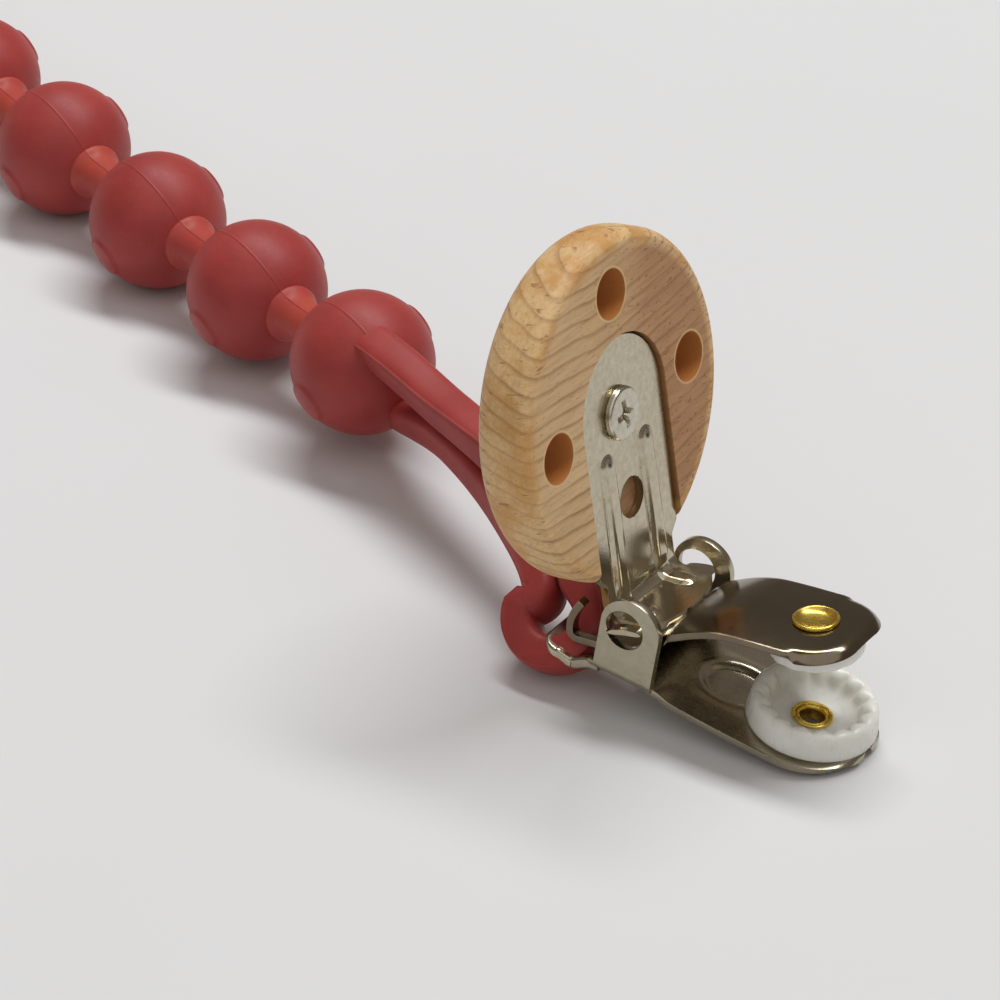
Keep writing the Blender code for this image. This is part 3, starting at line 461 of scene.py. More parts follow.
def woodLook():
    look = Look("discWood", wood["pale"], 0.52, 0.0, leverFrame)
    x, y, z = look.apart()
    middle = pose["leverReach"]
    flat = look.add("ShaderNodeCombineXYZ", {1: y, 2: z}).outputs[0]

    def fromAxis(spotY, spotZ, size):
        return look.maths("DIVIDE", look.gap(flat, (0, spotY, spotZ)), size)

    rimShare = look.ramp(fromAxis(0, middle, disc["radius"]), [(0.885, 0.0), (0.93, 1.0)])
    wander = look.noise(80, 3.0, 0.5)
    ripple = look.noise(700, 2.0, 0.5, look.stretched((1.0, 0.3, 1.0)))
    bow = look.times(look.times(y, y), wood["ringBow"])
    height = look.maths("SUBTRACT", z, bow)
    for socket, share in ((x, "ringSlope"), (wander, "wander"), (ripple, "ripple")):
        height = look.scaled(socket, wood[share], height)
    rings = look.maths("FRACT", look.maths("DIVIDE", height, wood["ringWidth"]))
    lateWood = look.ramp(rings, [(0.0, 0.0), (0.6, 0.1), (0.86, 1.0), (0.9, 0.25), (1.0, 0.0)])
    strength = look.ramp(look.noise(140, 2.0, 0.5), [(0.35, 0.45), (0.65, 1.0)])
    ringShare = look.times(lateWood, strength)
    fibre = look.noise(1.0, 3.0, 0.6, look.stretched((2600, 170, 2600)))
    broad = look.rise(look.noise(70, 2.0, 0.5), 0.35, 0.7)
    # pinkish tan towards the near side, darker brown towards the far one: partly the wood's own
    # tone, partly painted shade
    ground = look.mix(broad, wood["pale"], wood["tan"])
    side = look.maths("DIVIDE", y, 24 * mm)
    across = look.scaled(look.noise(120, 2.0, 0.5), 0.35, side)
    farPoreAndShadeShare = look.rise(across, 0.02, 0.5)
    ground = look.mix(look.times(farPoreAndShadeShare, 0.85), ground, wood["farBrownAndShade"])
    ground = look.mix(rimShare, ground, wood["cream"])
    streaks = look.ramp(fibre, [(0.3, 0.84), (0.55, 1.0), (0.8, 1.08)])
    ground = look.mix(1.0, ground, streaks, "MULTIPLY")
    ringed = look.maths("MULTIPLY", ringShare, 0.8, clamp=True)
    ground = look.mix(ringed, ground, wood["line"])
    # honey patches and short dark flecks on the rim
    patch = look.rise(look.noise(190, 3.0, 0.6), 0.45, 0.58)
    patchShare = look.times(look.times(patch, rimShare), 0.75)
    ground = look.mix(patchShare, ground, wood["honey"])
    flecks = look.noise(1.0, 2.0, 0.5, look.stretched((520, 520, 2900), (0.25, 0, 0)))
    fleckShare = look.times(look.rise(flecks, 0.655, 0.71), rimShare)
    ground = look.mix(look.times(fleckShare, 0.7), ground, wood["line"])
    # pores: tiny dashes along the fibre, more of them on the far side
    pores = look.noise(1.0, 1.0, 0.5, look.stretched((5200, 1300, 5200)))
    crowd = look.scaled(farPoreAndShadeShare, 0.45, 0.35)
    poreShare = look.times(look.rise(pores, 0.64, 0.73), crowd)
    ground = look.mix(poreShare, ground, wood["pore"])
    # painted shade: surfaces sunk below the back face, such as the recess floor and walls, are
    # darker; drill holes with darker, redder walls and a pale ring round the edge
    recessShade = look.maths("DIVIDE", look.maths("SUBTRACT", -pose["discBack"], x), mm)
    inward = look.maths("SUBTRACT", 1.0, rimShare)
    recessShade = look.times(look.rise(recessShade, 0.12, 0.4), inward)
    ground = look.mix(look.times(recessShade, 0.7), ground, wood["recessShadeBrown"])
    out = disc["ventCircle"]
    for spotY, spotZ in ((out, middle), (0, middle + out), (-out, middle)):
        gap = fromAxis(spotY, spotZ, 2 * disc["ventRadius"])
        edge = look.ramp(gap, [(0.505, 0.0), (0.525, 0.8), (0.57, 0.0)])
        ground = look.mix(edge, ground, wood["ventEdgePale"])
        ground = look.mix(look.ramp(gap, [(0.503, 0.88), (0.52, 0.0)]), ground, wood["vent"])
    look.feed("Base Color", ground)
    look.feed("Roughness", look.ramp(fibre, [(0.2, 0.60), (0.8, 0.46)]))
    look.relief(fibre, 0.00006, 0.55)
    look.relief(look.times(poreShare, -1.0), 0.00008, 0.5)
    look.set("Specular IOR Level", 0.4)
    return look.made


def addDisc():
    back = -pose["discBack"]
    face = back - pose["discThickness"]
    backRound, faceRound = disc["backRound"], disc["faceRound"]
    profile = arc(disc["radius"] - backRound, back - backRound, backRound, 68, 0, 8)
    profile += arc(disc["radius"] - faceRound, face + faceRound, faceRound, 0, -90, 14)
    rings = []
    for radius, x in profile:
        ring = []
        for i in range(disc["steps"]):
            angle = 2 * math.pi * i / disc["steps"]
            y, z = radius * math.cos(angle), radius * math.sin(angle)
            ring.append((x, y, pose["leverReach"] + z))
        rings.append(ring)
    made = objectFrom("woodDisc", loftWork(rings))
    half = disc["recessHalf"]
    top = pose["leverReach"] + disc["recessTop"] - half + disc["recessPlay"]
    outline = [(half, -30 * mm), (half, top)]
    outline += arc(0, top, half, 0, 180, 48)[1:]
    outline += [(-half, -30 * mm)]
    shape(made, prismWork(outline, back - disc["recessDepth"], mm, "X"))
    for degrees in (0, 90, 180):
        y = disc["ventCircle"] * math.cos(math.radians(degrees))
        z = pose["leverReach"] + disc["ventCircle"] * math.sin(math.radians(degrees))
        shape(made, rodWork(disc["ventRadius"], (face - mm, y, z), (mm, y, z), 72))
    soften(made, 0.16 * mm, 2, 50)
    dress(made, leverFrame, woodLook(), "lever", "wood_disc")


addDisc()
print("disc turned")


# Lever: plate, ribs, bend, cam lip and trunnion tabs
lever = {
    "sheet": 0.8 * mm,
    "width": 14.5 * mm,
    "neckWidth": 12.2 * mm,
    "top": 7.1 * mm,
    "neckRise": 3.4 * mm,
    "neckLength": 1.6 * mm,
    "bend": 1.7 * mm,
    "lipOutline": [  # reach and half width of the cam lip, in millimetres
        (1.9, 6.0), (2.2, 5.8), (2.5, 5.4), (2.75, 4.95), (2.95, 4.45), (3.15, 3.9),
        (3.35, 3.15), (3.5, 2.45), (3.62, 1.75), (3.72, 1.05), (3.77, 0.4),
    ],
    "lipAngle": math.radians(4.7),
    "hole": 2.1 * mm,
    "holeDrop": 9.9 * mm,
    "ribApart": 3.5 * mm,
    "ribTop": 4.9 * mm,
    "ribRamp": 0.6 * mm,
    "pitRise": 0.35 * mm,
    "pitDepth": 0.2 * mm,
    "pitSize": 0.72 * mm,
    "ribHalf": 1.15 * mm,
    "ribHeight": 0.5 * mm,
    "ribStop": 3.3 * mm,
    "tabWidth": 3.9 * mm,
    "tabSheet": 0.55 * mm,
    "tabTurn": math.radians(-3.8),
    "tabReach": 7.45 * mm,
    "tabBow": 0.15 * mm,
    "tabDrop": 0.25 * mm,
    "screwRise": -0.5 * mm,
    "screwHole": 1.8 * mm,
    "sunk": 0.65 * mm,  # the plate's front below the disc's back face
    "nickel": (0.56, 0.50, 0.37),
    "dull": (0.47, 0.415, 0.30),
    "bright": (0.60, 0.54, 0.41),
    # painted shade for the pits at the ribs' top ends
    "pit": (0.09, 0.08, 0.06),
}
plateBack = -pose["discBack"] - lever["sheet"] - lever["sunk"]
plateMid = plateBack + lever["sheet"] / 2
plateFront = plateBack + lever["sheet"]


def leverLook():
    # glossy plate with a fine mottle, a little duller above
    look = Look("leverNickel", lever["nickel"], 0.2, 1.0, leverFrame)
    x, y, z = look.apart()
    cloud = look.noise(1500, 5.0, 0.65)
    tone = look.mix(look.rise(cloud, 0.3, 0.7), lever["dull"], lever["bright"])
    # the ribs start in a small pit, painted darker as shade
    flat = look.add("ShaderNodeCombineXYZ", {1: look.maths("ABSOLUTE", y), 2: z}).outputs[0]
    spot = (0, lever["ribApart"], pose["leverReach"] - lever["ribTop"] + lever["pitRise"])
    dark = look.ramp(look.maths("DIVIDE", look.gap(flat, spot), mm), [(0.3, 0.85), (0.62, 0.0)])
    look.feed("Base Color", look.mix(dark, tone, lever["pit"]))
    upper = look.rise(look.maths("DIVIDE", z, 20 * mm), 0.42, 0.62)
    grain = look.ramp(cloud, [(0.3, 0.06), (0.7, -0.04)])
    rough = look.scaled(upper, 0.08, 0.15)
    look.feed("Roughness", look.maths("ADD", rough, grain))
    look.relief(look.noise(4200, 3.0, 0.6), 0.00002, 0.35)
    return look.made


def leverLine():
    # middle line of the sheet as (x, z, half width), from the rounded top to the lip's tip
    angle = lever["lipAngle"]
    bend = lever["bend"]
    bendX = plateMid + bend
    bendZ = (bend - math.sin(angle) * bendX) / math.cos(angle)
    topZ = pose["leverReach"] + lever["top"]
    half, neckHalf = lever["width"] / 2, lever["neckWidth"] / 2
    neckZ = bendZ + lever["neckRise"]
    stops = []
    for i in range(1, 29):
        a = math.pi / 2 * i / 28
        stops.append((plateMid, topZ - half + half * math.cos(a), half * math.sin(a)))
    for i in range(1, 101):
        stops.append((plateMid, topZ - half + (neckZ - topZ + half) * i / 100, half))
    for i in range(1, 11):
        narrow = (half - neckHalf) * ease(i / 10)
        stops.append((plateMid, neckZ - lever["neckLength"] * i / 10, half - narrow))
    start = neckZ - lever["neckLength"]
    for i in range(1, 15):
        stops.append((plateMid, start + (bendZ - start) * i / 15, neckHalf))
    for i in range(19):
        a = math.pi + (math.pi / 2 - angle) * i / 18
        stops.append((bendX + bend * math.cos(a), bendZ + bend * math.sin(a), neckHalf))
    reaches = [(bendX + (1.7 * mm - bendX) * i / 16, neckHalf) for i in range(1, 17)]
    reaches += [(reach * mm, wide * mm) for reach, wide in lever["lipOutline"]]
    stops += [(reach * math.cos(angle), -reach * math.sin(angle), wide) for reach, wide in reaches]
    return stops, bendZ


def nearLine(point, route):
    # shortest way from a point to a bent line, both in the sheet's own flat lengths
    best = 1.0
    for a, b in zip(route, route[1:]):
        along = b - a
        share = min(max((point - a).dot(along) / along.length_squared, 0), 1)
        best = min(best, (point - a - along * share).length)
    return best


def addLever():
    stops, bendZ = leverLine()
    run = [0.0]
    for (x, z, _), (x2, z2, _) in zip(stops, stops[1:]):
        run.append(run[-1] + math.hypot(x2 - x, z2 - z))
    top, low = pose["leverReach"] - lever["ribTop"], bendZ + 1.3 * mm
    ribTop = next(r for r, stop in zip(run, stops) if stop[1] <= top)
    foot = next(r for r, stop in zip(run, stops) if stop[1] <= low)
    apart = lever["ribApart"]
    ribEnd = run[-1] - lever["ribStop"]
    route = [Vector((ribTop, apart)), Vector((ribEnd, apart + 0.1 * mm))]
    pit = Vector((ribTop - lever["pitRise"], apart))
    rows = []
    count = 96
    for i, (x, z, half) in enumerate(stops):
        before, after = stops[max(i - 1, 0)], stops[min(i + 1, len(stops) - 1)]
        along = Vector((after[0] - before[0], after[1] - before[1])).normalized()
        grown = 0.8 + 0.2 * ease((run[i] - ribTop) / (5 * mm))
        grown -= 0.35 * ease((run[i] - foot) / (1.2 * mm))
        # the sheet is stretched into a shallow fillet where it bends between the ribs
        fillet = 0.08 * mm * math.exp(-(((run[i] - foot - 0.9 * mm) / (0.5 * mm)) ** 2))
        row = []
        for k in range(count + 1):
            y = half * (2 * k / count - 1)
            here = Vector((run[i], abs(y)))
            ramp = ease((lever["ribHalf"] - nearLine(here, route)) / lever["ribRamp"])
            lift = grown * lever["ribHeight"] * ramp
            lift -= lever["pitDepth"] * ease(1 - (here - pit).length / lever["pitSize"])
            lift += fillet * ease((apart - abs(y)) / (1.5 * mm))
            row.append((x - along.y * lift, y, z + along.x * lift))
        rows.append(row)
    made = objectFrom("leverPlate", gridWork(rows))
    thicken(made, lever["sheet"])
    for side in (-1, 1):
        # the tab's end is a thin bowed leaf
        inner, outer = side * (lever["neckWidth"] / 2 - 0.8 * mm), side * lever["tabReach"]
        section = []
        for face, order in ((1, range(13)), (-1, range(12, -1, -1))):
            for share in [i / 6 - 1 for i in order]:
                bow = lever["tabBow"] * (1 - share**2) - 0.08 * mm
                thick = lever["tabSheet"] / 2 * math.sqrt(max(1 - share**4, 0.02))
                section.append((lever["tabWidth"] / 2 * share, bow + face * thick))
        tab = objectFrom("tab", prismWork(section, min(inner, outer), max(inner, outer)))
        drop = Matrix.Translation((0, 0, -lever["tabDrop"]))
        tab.data.transform(Matrix.Rotation(lever["tabTurn"], 4, "Y") @ drop)
        shape(made, tab, "UNION")
    screwZ = pose["leverReach"] + lever["screwRise"]
    holeZ = pose["leverReach"] - lever["holeDrop"]
    for radius, z in ((lever["screwHole"], screwZ), (lever["hole"], holeZ)):
        shape(made, rodWork(radius, (plateMid - mm, 0, z), (plateMid + mm, 0, z), 64))
    soften(made, 0.09 * mm, 2, 42)
    dress(made, leverFrame, leverLook(), "lever", "lever_plate")


addLever()
print("lever pressed")


# Screw: pan head with a cross recess
screw = {
    "head": 2.75 * mm,
    "height": 0.85 * mm,
    "shank": 1.25 * mm,
    "wing": 0.42 * mm,
    "wingLength": 1.85 * mm,
    "depth": 0.75 * mm,
    "turn": math.radians(8),
    "seat": (0.02 * mm, -0.45 * mm),  # off the plate, and to the side
}


def addScrew():
    head, height = screw["head"], screw["height"]
    profile = [(0.25 * mm, height)]
    profile += [(head * 0.7, height)]
    profile += arc(head - 0.42 * mm, height - 0.38 * mm, 0.38 * mm, 75, 0, 8)
    profile += [(head, 0.25 * mm), (head - 0.12 * mm, 0.1 * mm), (head - 0.2 * mm, 0)]
    profile += [(screw["shank"], 0), (screw["shank"], -5.2 * mm), (0.25 * mm, -6.0 * mm)]
    made = objectFrom("leverScrew", loftWork(turnedRings(profile, 96)))
    for turn in (0, math.pi / 2):
        low = [(-screw["wing"], -screw["wingLength"]), (screw["wing"], -screw["wingLength"])]
        low += [(-x, -y) for x, y in low]
        floor = [(x * 0.7, y * 0.5, height - screw["depth"]) for x, y in low]
        mouth = [(x, y, height + 0.4 * mm) for x, y in low]
        slot = objectFrom("slot", loftWork([floor, mouth]))
        slot.data.transform(Matrix.Rotation(turn + screw["turn"], 4, "Z"))
        shape(made, slot)
    deep, top = height - screw["depth"] - 0.2 * mm, height + 0.4 * mm
    shape(made, rodWork(0.32 * mm, (0, 0, deep), (0, 0, top), 32, 0.85 * mm))
    soften(made, 0.05 * mm, 2, 40)
    off, aside = screw["seat"]
    seat = Matrix.Translation((plateFront + off, aside, pose["leverReach"] + lever["screwRise"]))
    place = leverFrame @ seat @ Matrix.Rotation(math.pi / 2, 4, "Y")
    dress(made, place, screwMade, "lever", "lever_screw")


addScrew()
print("screw driven")


# Base: pressed floor, channel with two ears, lugs for the ring
base = {
    "sheet": 0.75 * mm,
    "earGap": 13.0 * mm,
    "earSheet": 0.8 * mm,
    "earLength": 6.6 * mm,
    "earRound": 3.3 * mm,
    "earHeight": 9.15 * mm,
    "earBend": 1.2 * mm,
    "holeRadius": 2.15 * mm,
    "rear": 0.6 * mm,
    "length": 27.2 * mm,
    "neckWidth": 13.5 * mm,
    "fullWidth": 14.3 * mm,
    "fullX": 16.0 * mm,
    "noseWidth": 2.0 * mm,
    "noseLength": 6.6 * mm,
    "drop": 0.42 * mm,
    "dropPower": 1.12,  # how the sides roll down
    "ovalStart": 8.8 * mm,
    "ovalEnd": 16.3 * mm,
    "ovalHalf": 2.9 * mm,
    "ovalDepth": 0.5 * mm,
    "ovalRim": 0.10 * mm,
    "padX": 21.0 * mm,
    "rivetHole": 1.6 * mm,
}


def baseHalf(x):
    nose = base["length"] - base["noseLength"]
    if x <= nose:
        share = ease((x - base["earLength"]) / (base["fullX"] - base["earLength"])) ** 0.6
        grown = (base["fullWidth"] - base["neckWidth"]) * share
        return (base["neckWidth"] + grown) / 2
    share = (x - nose) / base["noseLength"]
    half, tip = base["fullWidth"] / 2, base["noseWidth"] / 2
    return tip + (half - tip) * math.sqrt(max(1 - share**2, 0))


def baseHeight(x, y):
    half = baseHalf(x)
    flat = half * 0.6
    side = max(abs(y) - flat, 0) / (half - flat)
    fallen = base["drop"] * side ** base["dropPower"] * ease((x - base["earLength"]) / (2.5 * mm))
    height = -base["sheet"] / 2 - fallen
    centre = (base["ovalStart"] + base["ovalEnd"]) / 2
    reach = (base["ovalEnd"] - base["ovalStart"]) / 2
    across = math.hypot((x - centre) / reach, y / base["ovalHalf"])
    rim = base["ovalRim"] * math.exp(-(((across - 1.14) / 0.1) ** 2))
    return height - base["ovalDepth"] * ease((1.1 - across) / 0.22) + rim


# Ring and lugs share one line: arms leave the floor, sag, and turn into the rear bar
ring = {
    "width": 13.5 * mm,
    "strip": 1.5 * mm,
    "thickness": 1.2 * mm,
    "jointX": 2.6 * mm,
    "jointDrop": 1.75 * mm,
    "barX": 6.0 * mm,
    "corner": 1.5 * mm,
    "edge": 0.34 * mm,
}
leg = {
    "thickness": 3.7 * mm,
    "width": 4.5 * mm,
    "gap": 0.5 * mm,
    "barClearance": 0.3 * mm,
    "side": 2.35 * mm,
    "endRadius": 4.0 * mm,
    "endShift": -0.85 * mm,
}
barHalf = math.hypot(ring["strip"], 1.0 * mm) / 2 - 0.1 * mm
loopEnd = barHalf + leg["barClearance"] + leg["thickness"] / 2
barWorldZ = tableHeight + loopEnd + leg["thickness"] / 2
barRise = barWorldZ - clipFrame.translation.z - ring["barX"] * math.sin(pose["clipPitch"])
barZ = barRise / math.cos(pose["clipPitch"])


def stripSection(point, along, up):
    across = Vector(along).cross(Vector(up)).normalized()
    up = Vector(up).normalized()
    corner = ring["edge"]
    half, tall = ring["strip"] / 2, ring["thickness"] / 2 - corner
    points = []
    for sy, sz, start in ((1, 1, 0), (-1, 1, 90), (-1, -1, 180), (1, -1, 270)):
        points += arc(sy * (half - corner), sz * tall, corner, start, start + 90, 5)
    return [Vector(point) + across * a + up * b for a, b in points]


armPoints = [
    (-base["rear"] + 0.9 * mm, -ring["thickness"] / 2),
    (-base["rear"] - 0.4 * mm, -ring["thickness"] / 2 - 0.25 * mm),
    (-ring["jointX"], -ring["jointDrop"]),
    (-(ring["jointX"] + ring["barX"]) / 2, barZ + 0.05 * mm),
    (-ring["barX"], barZ),
]
armLine = through([(x, 0, z) for x, z in armPoints], 48)
ringHalf = (ring["width"] - ring["strip"]) / 2


def addBase():
    nose = base["length"] - base["noseLength"]
    start = base["earLength"] - 0.8 * mm
    stops = [start + (nose - start) * i / 56 for i in range(57)]
    stops += [nose + base["noseLength"] * math.sin(math.pi / 2 * i / 14) for i in range(1, 15)]
    rows = []
    for x in stops:
        wide = [baseHalf(x) * (i / 28 - 1) for i in range(57)]
        rows.append([(x, y, baseHeight(x, y)) for y in wide])
    made = objectFrom("basePlate", gridWork(rows))
    thicken(made, base["sheet"])
    gap, bend = base["earGap"] / 2, base["earBend"]
    outer, inner, top = gap + base["earSheet"], bend - base["earSheet"], base["earHeight"] + mm
    section = [(-outer, top)]
    section += arc(-outer + bend, -base["sheet"] + bend, bend, 180, 270, 12)
    section += arc(outer - bend, -base["sheet"] + bend, bend, 270, 360, 12)
    section += [(outer, top), (gap, top)]
    section += arc(gap - inner, inner, inner, 0, -90, 8)
    section += arc(-gap + inner, inner, inner, -90, -180, 8)
    section += [(-gap, top)]
    channel = objectFrom("channel", prismWork(section, -base["rear"], base["earLength"], "X"))
    rear, front, turned = -base["rear"] - mm, base["earLength"], base["earRound"]
    side = [(rear, -2 * mm), (front + mm, -2 * mm), (front + mm, inner), (front, inner)]
    side += arc(front - turned, base["earHeight"] - turned, turned, 0, 180, 36)
    side += [(0, inner), (rear, inner)]
    shape(channel, prismWork(side, -12 * mm, 12 * mm), "INTERSECT")
    x, _, z = pose["pivot"]
    shape(channel, rodWork(base["holeRadius"], (x, -12 * mm, z), (x, 12 * mm, z), 64))
    shape(made, channel, "UNION")
    for sign in (-1, 1):
        rings = []
        for i in range(25):
            along = armLine[min(i + 1, 48)] - armLine[max(i - 1, 0)]
            up = Vector((0, 1, 0)).cross(along) * -1
            spot = (armLine[i].x, sign * ringHalf, armLine[i].z)
            rings.append(stripSection(spot, along, up))
        shape(made, loftWork(rings), "UNION")
    x = base["padX"]
    shape(made, rodWork(base["rivetHole"], (x, 0, -4 * mm), (x, 0, 4 * mm), 48))
    soften(made, 0.1 * mm, 2, 45)
    dress(made, clipFrame, baseMade, "base", "base_plate")


def addRing():
    path = []
    for i in range(25, 49):
        if armLine[i].x > -ring["barX"] + ring["corner"]:
            path.append(Vector((armLine[i].x, -ringHalf, armLine[i].z)))
    for i in range(13):
        angle = math.pi / 2 * i / 12
        x = -ring["barX"] + ring["corner"] * (1 - math.sin(angle))
        y = -ringHalf + ring["corner"] * (1 - math.cos(angle))
        path.append(Vector((x, y, barZ)))
    lugEnd = Vector((armLine[24].x, -ringHalf, armLine[24].z))
    way = (path[1] - path[0]).normalized()
    path[0] += way * (0.08 * mm - (lugEnd - path[0]).length)
    path += [Vector((p.x, -p.y, p.z)) for p in reversed(path)]
    rings = []
    for i, point in enumerate(path):
        along = (path[min(i + 1, len(path) - 1)] - path[max(i - 1, 0)]).normalized()
        sideways = Vector((0, 0, 1)).cross(along).normalized()
        rings.append(stripSection(point, along, along.cross(sideways)))
    made = objectFrom("strapRing", loftWork(rings))
    soften(made, 0.06 * mm, 2, 50)
    dress(made, clipFrame, ringMade, "base", "strap_ring")


addBase()
addRing()
print("base and ring pressed")


# Upper jaw, in the jaw's own frame: x from the heel forward
jaw = {
    "sheet": 0.75 * mm,
    "width": 12.0 * mm,
    "trough": 7.6 * mm,
    "crown": 5.5 * mm,
    "crownStart": 18.6 * mm,
    "length": 29.8 * mm,
    "noseWidth": 4.0 * mm,
    "noseLength": 4.8 * mm,
    "lipDrop": 0.75 * mm,
    "camber": 0.4 * mm,
    "hookHeight": 4.3 * mm,
    "heelRound": 0.75 * mm,
    "hookLean": 1.5 * mm,
    "hookWidth": 1.1 * mm,
    "hookBelly": 0.55 * mm,
    "hookCut": 3.4 * mm,
    "rivetX": 24.6 * mm,
}


def jawHalf(x):
    nose = jaw["length"] - jaw["noseLength"]
    if x <= nose:
        return jaw["width"] / 2
    share = (x - nose) / jaw["noseLength"]
    tip = jaw["noseWidth"] / 2
    return tip + (jaw["width"] / 2 - tip) * math.sqrt(max(1 - share**2, 0))


def jawLine():
    trough, crown = jaw["trough"], jaw["crown"]
    crescent = trough + 3.4 * mm
    rise = crown * 0.6
    route = [(trough * i / 6, 0.0) for i in range(7)]
    for i in range(1, 7):
        share = i / 6
        route.append((trough + (crescent - trough) * share**0.8, rise * share**1.5))
    for i in range(1, 7):
        share = i / 6
        height = rise + (crown - rise) * math.sin(math.pi / 2 * share)
        route.append((crescent + (jaw["crownStart"] - crescent) * share, height))
    nose = jaw["length"] - jaw["noseLength"]
    for i in range(1, 4):
        route.append((jaw["crownStart"] + (nose - jaw["crownStart"]) * i / 3, crown + 0.05 * mm))
    smooth = through([(x, 0, z) for x, z in route], 110)
    line = [(p.x, p.z) for p in smooth]
    for i in range(1, 25):
        share = math.sin(math.pi / 2 * i / 24)
        line.append((nose + jaw["noseLength"] * share, crown + 0.05 * mm))
    return line


def addJaw():
    hook = []
    heel = jaw["heelRound"]
    for i in range(14, 2, -1):
        share = i / 14
        lean = jaw["hookLean"] * share - jaw["hookBelly"] * math.sin(math.pi * share)
        hook.append((lean, jaw["hookHeight"] * share))
    hook += arc(heel - 0.02 * mm, heel, heel, 185, 268, 8)
    nose = jaw["length"] - jaw["noseLength"]
    rows = []
    for x, z in hook + [p for p in jawLine() if p[0] > heel + 0.15 * mm]:
        half = jawHalf(x)
        camber = jaw["camber"] * ease((z - 1.5 * mm) / (2 * mm)) if x > jaw["trough"] else 0
        row = []
        for i in range(41):
            y = half * (i / 20 - 1)
            # the border of the nose is turned down
            reach = max(x - nose, 0) / jaw["noseLength"]
            wide = max(abs(y) - jaw["noseWidth"] / 2, 0) / ((jaw["width"] - jaw["noseWidth"]) / 2)
            edge = max(math.hypot(reach, wide) - 0.8, 0) / 0.2
            edge *= ease((x - nose + 0.8 * mm) / (1.4 * mm))
            fall = camber * (y / (jaw["width"] / 2)) ** 2
            row.append((x, y, z - fall - jaw["lipDrop"] * edge**2))
        rows.append(row)
    made = objectFrom("upperJaw", gridWork(rows))
    thicken(made, jaw["sheet"])
    inner = jaw["width"] / 2 - jaw["hookWidth"]
    high = jaw["hookHeight"] + 3 * mm
    shape(made, boxWork((-2 * mm, -inner, -2 * mm), (jaw["hookCut"], inner, high)))
    x = jaw["rivetX"]
    shape(made, rodWork(base["rivetHole"], (x, 0, 0), (x, 0, 12 * mm), 48))
    soften(made, 0.09 * mm, 2, 45)
    dress(made, jawFrame, jawMade, "jaw", "upper_jaw")


addJaw()
print("upper jaw pressed")


# Grip pads: milky cups with a toothed rim, a larger one below and a smaller one above
pad = {
    "lower": {"foot": 6.6 * mm, "rim": 6.3 * mm, "height": 3.0 * mm, "teeth": 17},
    "upper": {"foot": 4.9 * mm, "rim": 4.75 * mm, "height": 2.5 * mm, "teeth": 14},
    "toothDepth": 0.42 * mm,
    "hole": 1.6 * mm,
    "floor": 0.6 * mm,
    "play": 0.04 * mm,
    "plastic": (0.76, 0.745, 0.69),
    "milky": (0.71, 0.695, 0.635),
    "white": (0.80, 0.79, 0.74),
}
jawUnder = jaw["crown"] + 0.05 * mm - jaw["sheet"] / 2


def padLook():
    look = Look("padPlastic", pad["plastic"], 0.34)
    cloud = look.noise(300, 4.0, 0.6)
    flow = look.noise(1.0, 3.0, 0.6, look.stretched((1400, 1400, 500)))
    tone = look.mix(look.rise(cloud, 0.3, 0.7), pad["milky"], pad["white"])
    look.feed("Base Color", tone)
    look.feed("Roughness", look.ramp(flow, [(0.3, 0.22), (0.7, 0.42)]))
    look.relief(flow, 0.00003, 0.2)
    look.set("Subsurface Weight", 0.6)
    look.set("Subsurface Radius", (1.0, 1.0, 0.95))
    look.set("Subsurface Scale", 0.0022)
    look.set("IOR", 1.5)
    return look.made


def addPad(name, size, place, body, node):
    foot, rim, height = size["foot"], size["rim"], size["height"]
    # radius, height, and how far a groove between two lobes draws each back
    profile = [
        (pad["hole"], 0, 0, 0),
        (foot - 0.35 * mm, 0, 0, 0),
        (foot - 0.1 * mm, 0.08 * mm, 0, 0),
        (foot, 0.3 * mm, 0, 0),
        (foot - 0.03 * mm, height * 0.3, 0, 0),
        (foot * 0.5 + rim * 0.5, height * 0.6, 0, 0),
        (rim + 0.02 * mm, height - 0.45 * mm, 0, 0),
        (rim - 0.1 * mm, height - 0.18 * mm, -0.1, 0.25),
        (rim - 0.32 * mm, height - 0.02 * mm, 0, 0.3),
        (rim - 0.62 * mm, height, 0, 0.35),
        (rim - 1.0 * mm, height - 0.06 * mm, 0.2, 0.6),
        (rim - 1.35 * mm, height - 0.2 * mm, 0.8, 1.0),
        (rim - 1.6 * mm, height - 0.42 * mm, 1.0, 0.8),
        (rim - 1.75 * mm, height - 0.75 * mm, 1.0, 0.3),
        (rim - 1.86 * mm, height * 0.58, 0.4, 0),
        (rim * 0.6 + 0.35 * mm, height * 0.4, 0, 0),
        (2.75 * mm, 0.78 * mm, 0, 0),
        (2.35 * mm, 0.62 * mm, 0, 0),
        (pad["hole"], pad["floor"], 0, 0),
    ]
    teeth = size["teeth"]

    def wave(index, radius, level, angle):
        dip = (1 - abs(math.sin(teeth * angle / 2))) ** 1.25 * pad["toothDepth"]
        return radius + dip * profile[index][2], level - dip * profile[index][3]

    rings = turnedRings([(r, h) for r, h, _, _ in profile], teeth * 14, wave)
    made = objectFrom(name, loftWork(rings, closed=True), angle=80)
    dress(made, place, padMade, body, node)


padMade = padLook()
flip = Matrix.Rotation(math.pi, 4, "X")
lowerPlace = clipFrame @ Matrix.Translation((base["padX"], 0, pad["play"]))
upperPlace = jawFrame @ Matrix.Translation((jaw["rivetX"], 0, jawUnder - pad["play"])) @ flip
addPad("lowerPad", pad["lower"], lowerPlace, "base", "lower_pad")
addPad("upperPad", pad["upper"], upperPlace, "jaw", "upper_pad")

# Eyelets: rolled flange in the pad, barrel, and a flared end on the sheet
eyelet = {
    "barrel": 1.5 * mm,
    "lower": {"flange": 2.1 * mm, "bore": 1.2 * mm, "roll": 0.2 * mm, "closed": False},
    "upper": {"flange": 2.3 * mm, "bore": 1.2 * mm, "roll": 0.24 * mm, "closed": True},
}


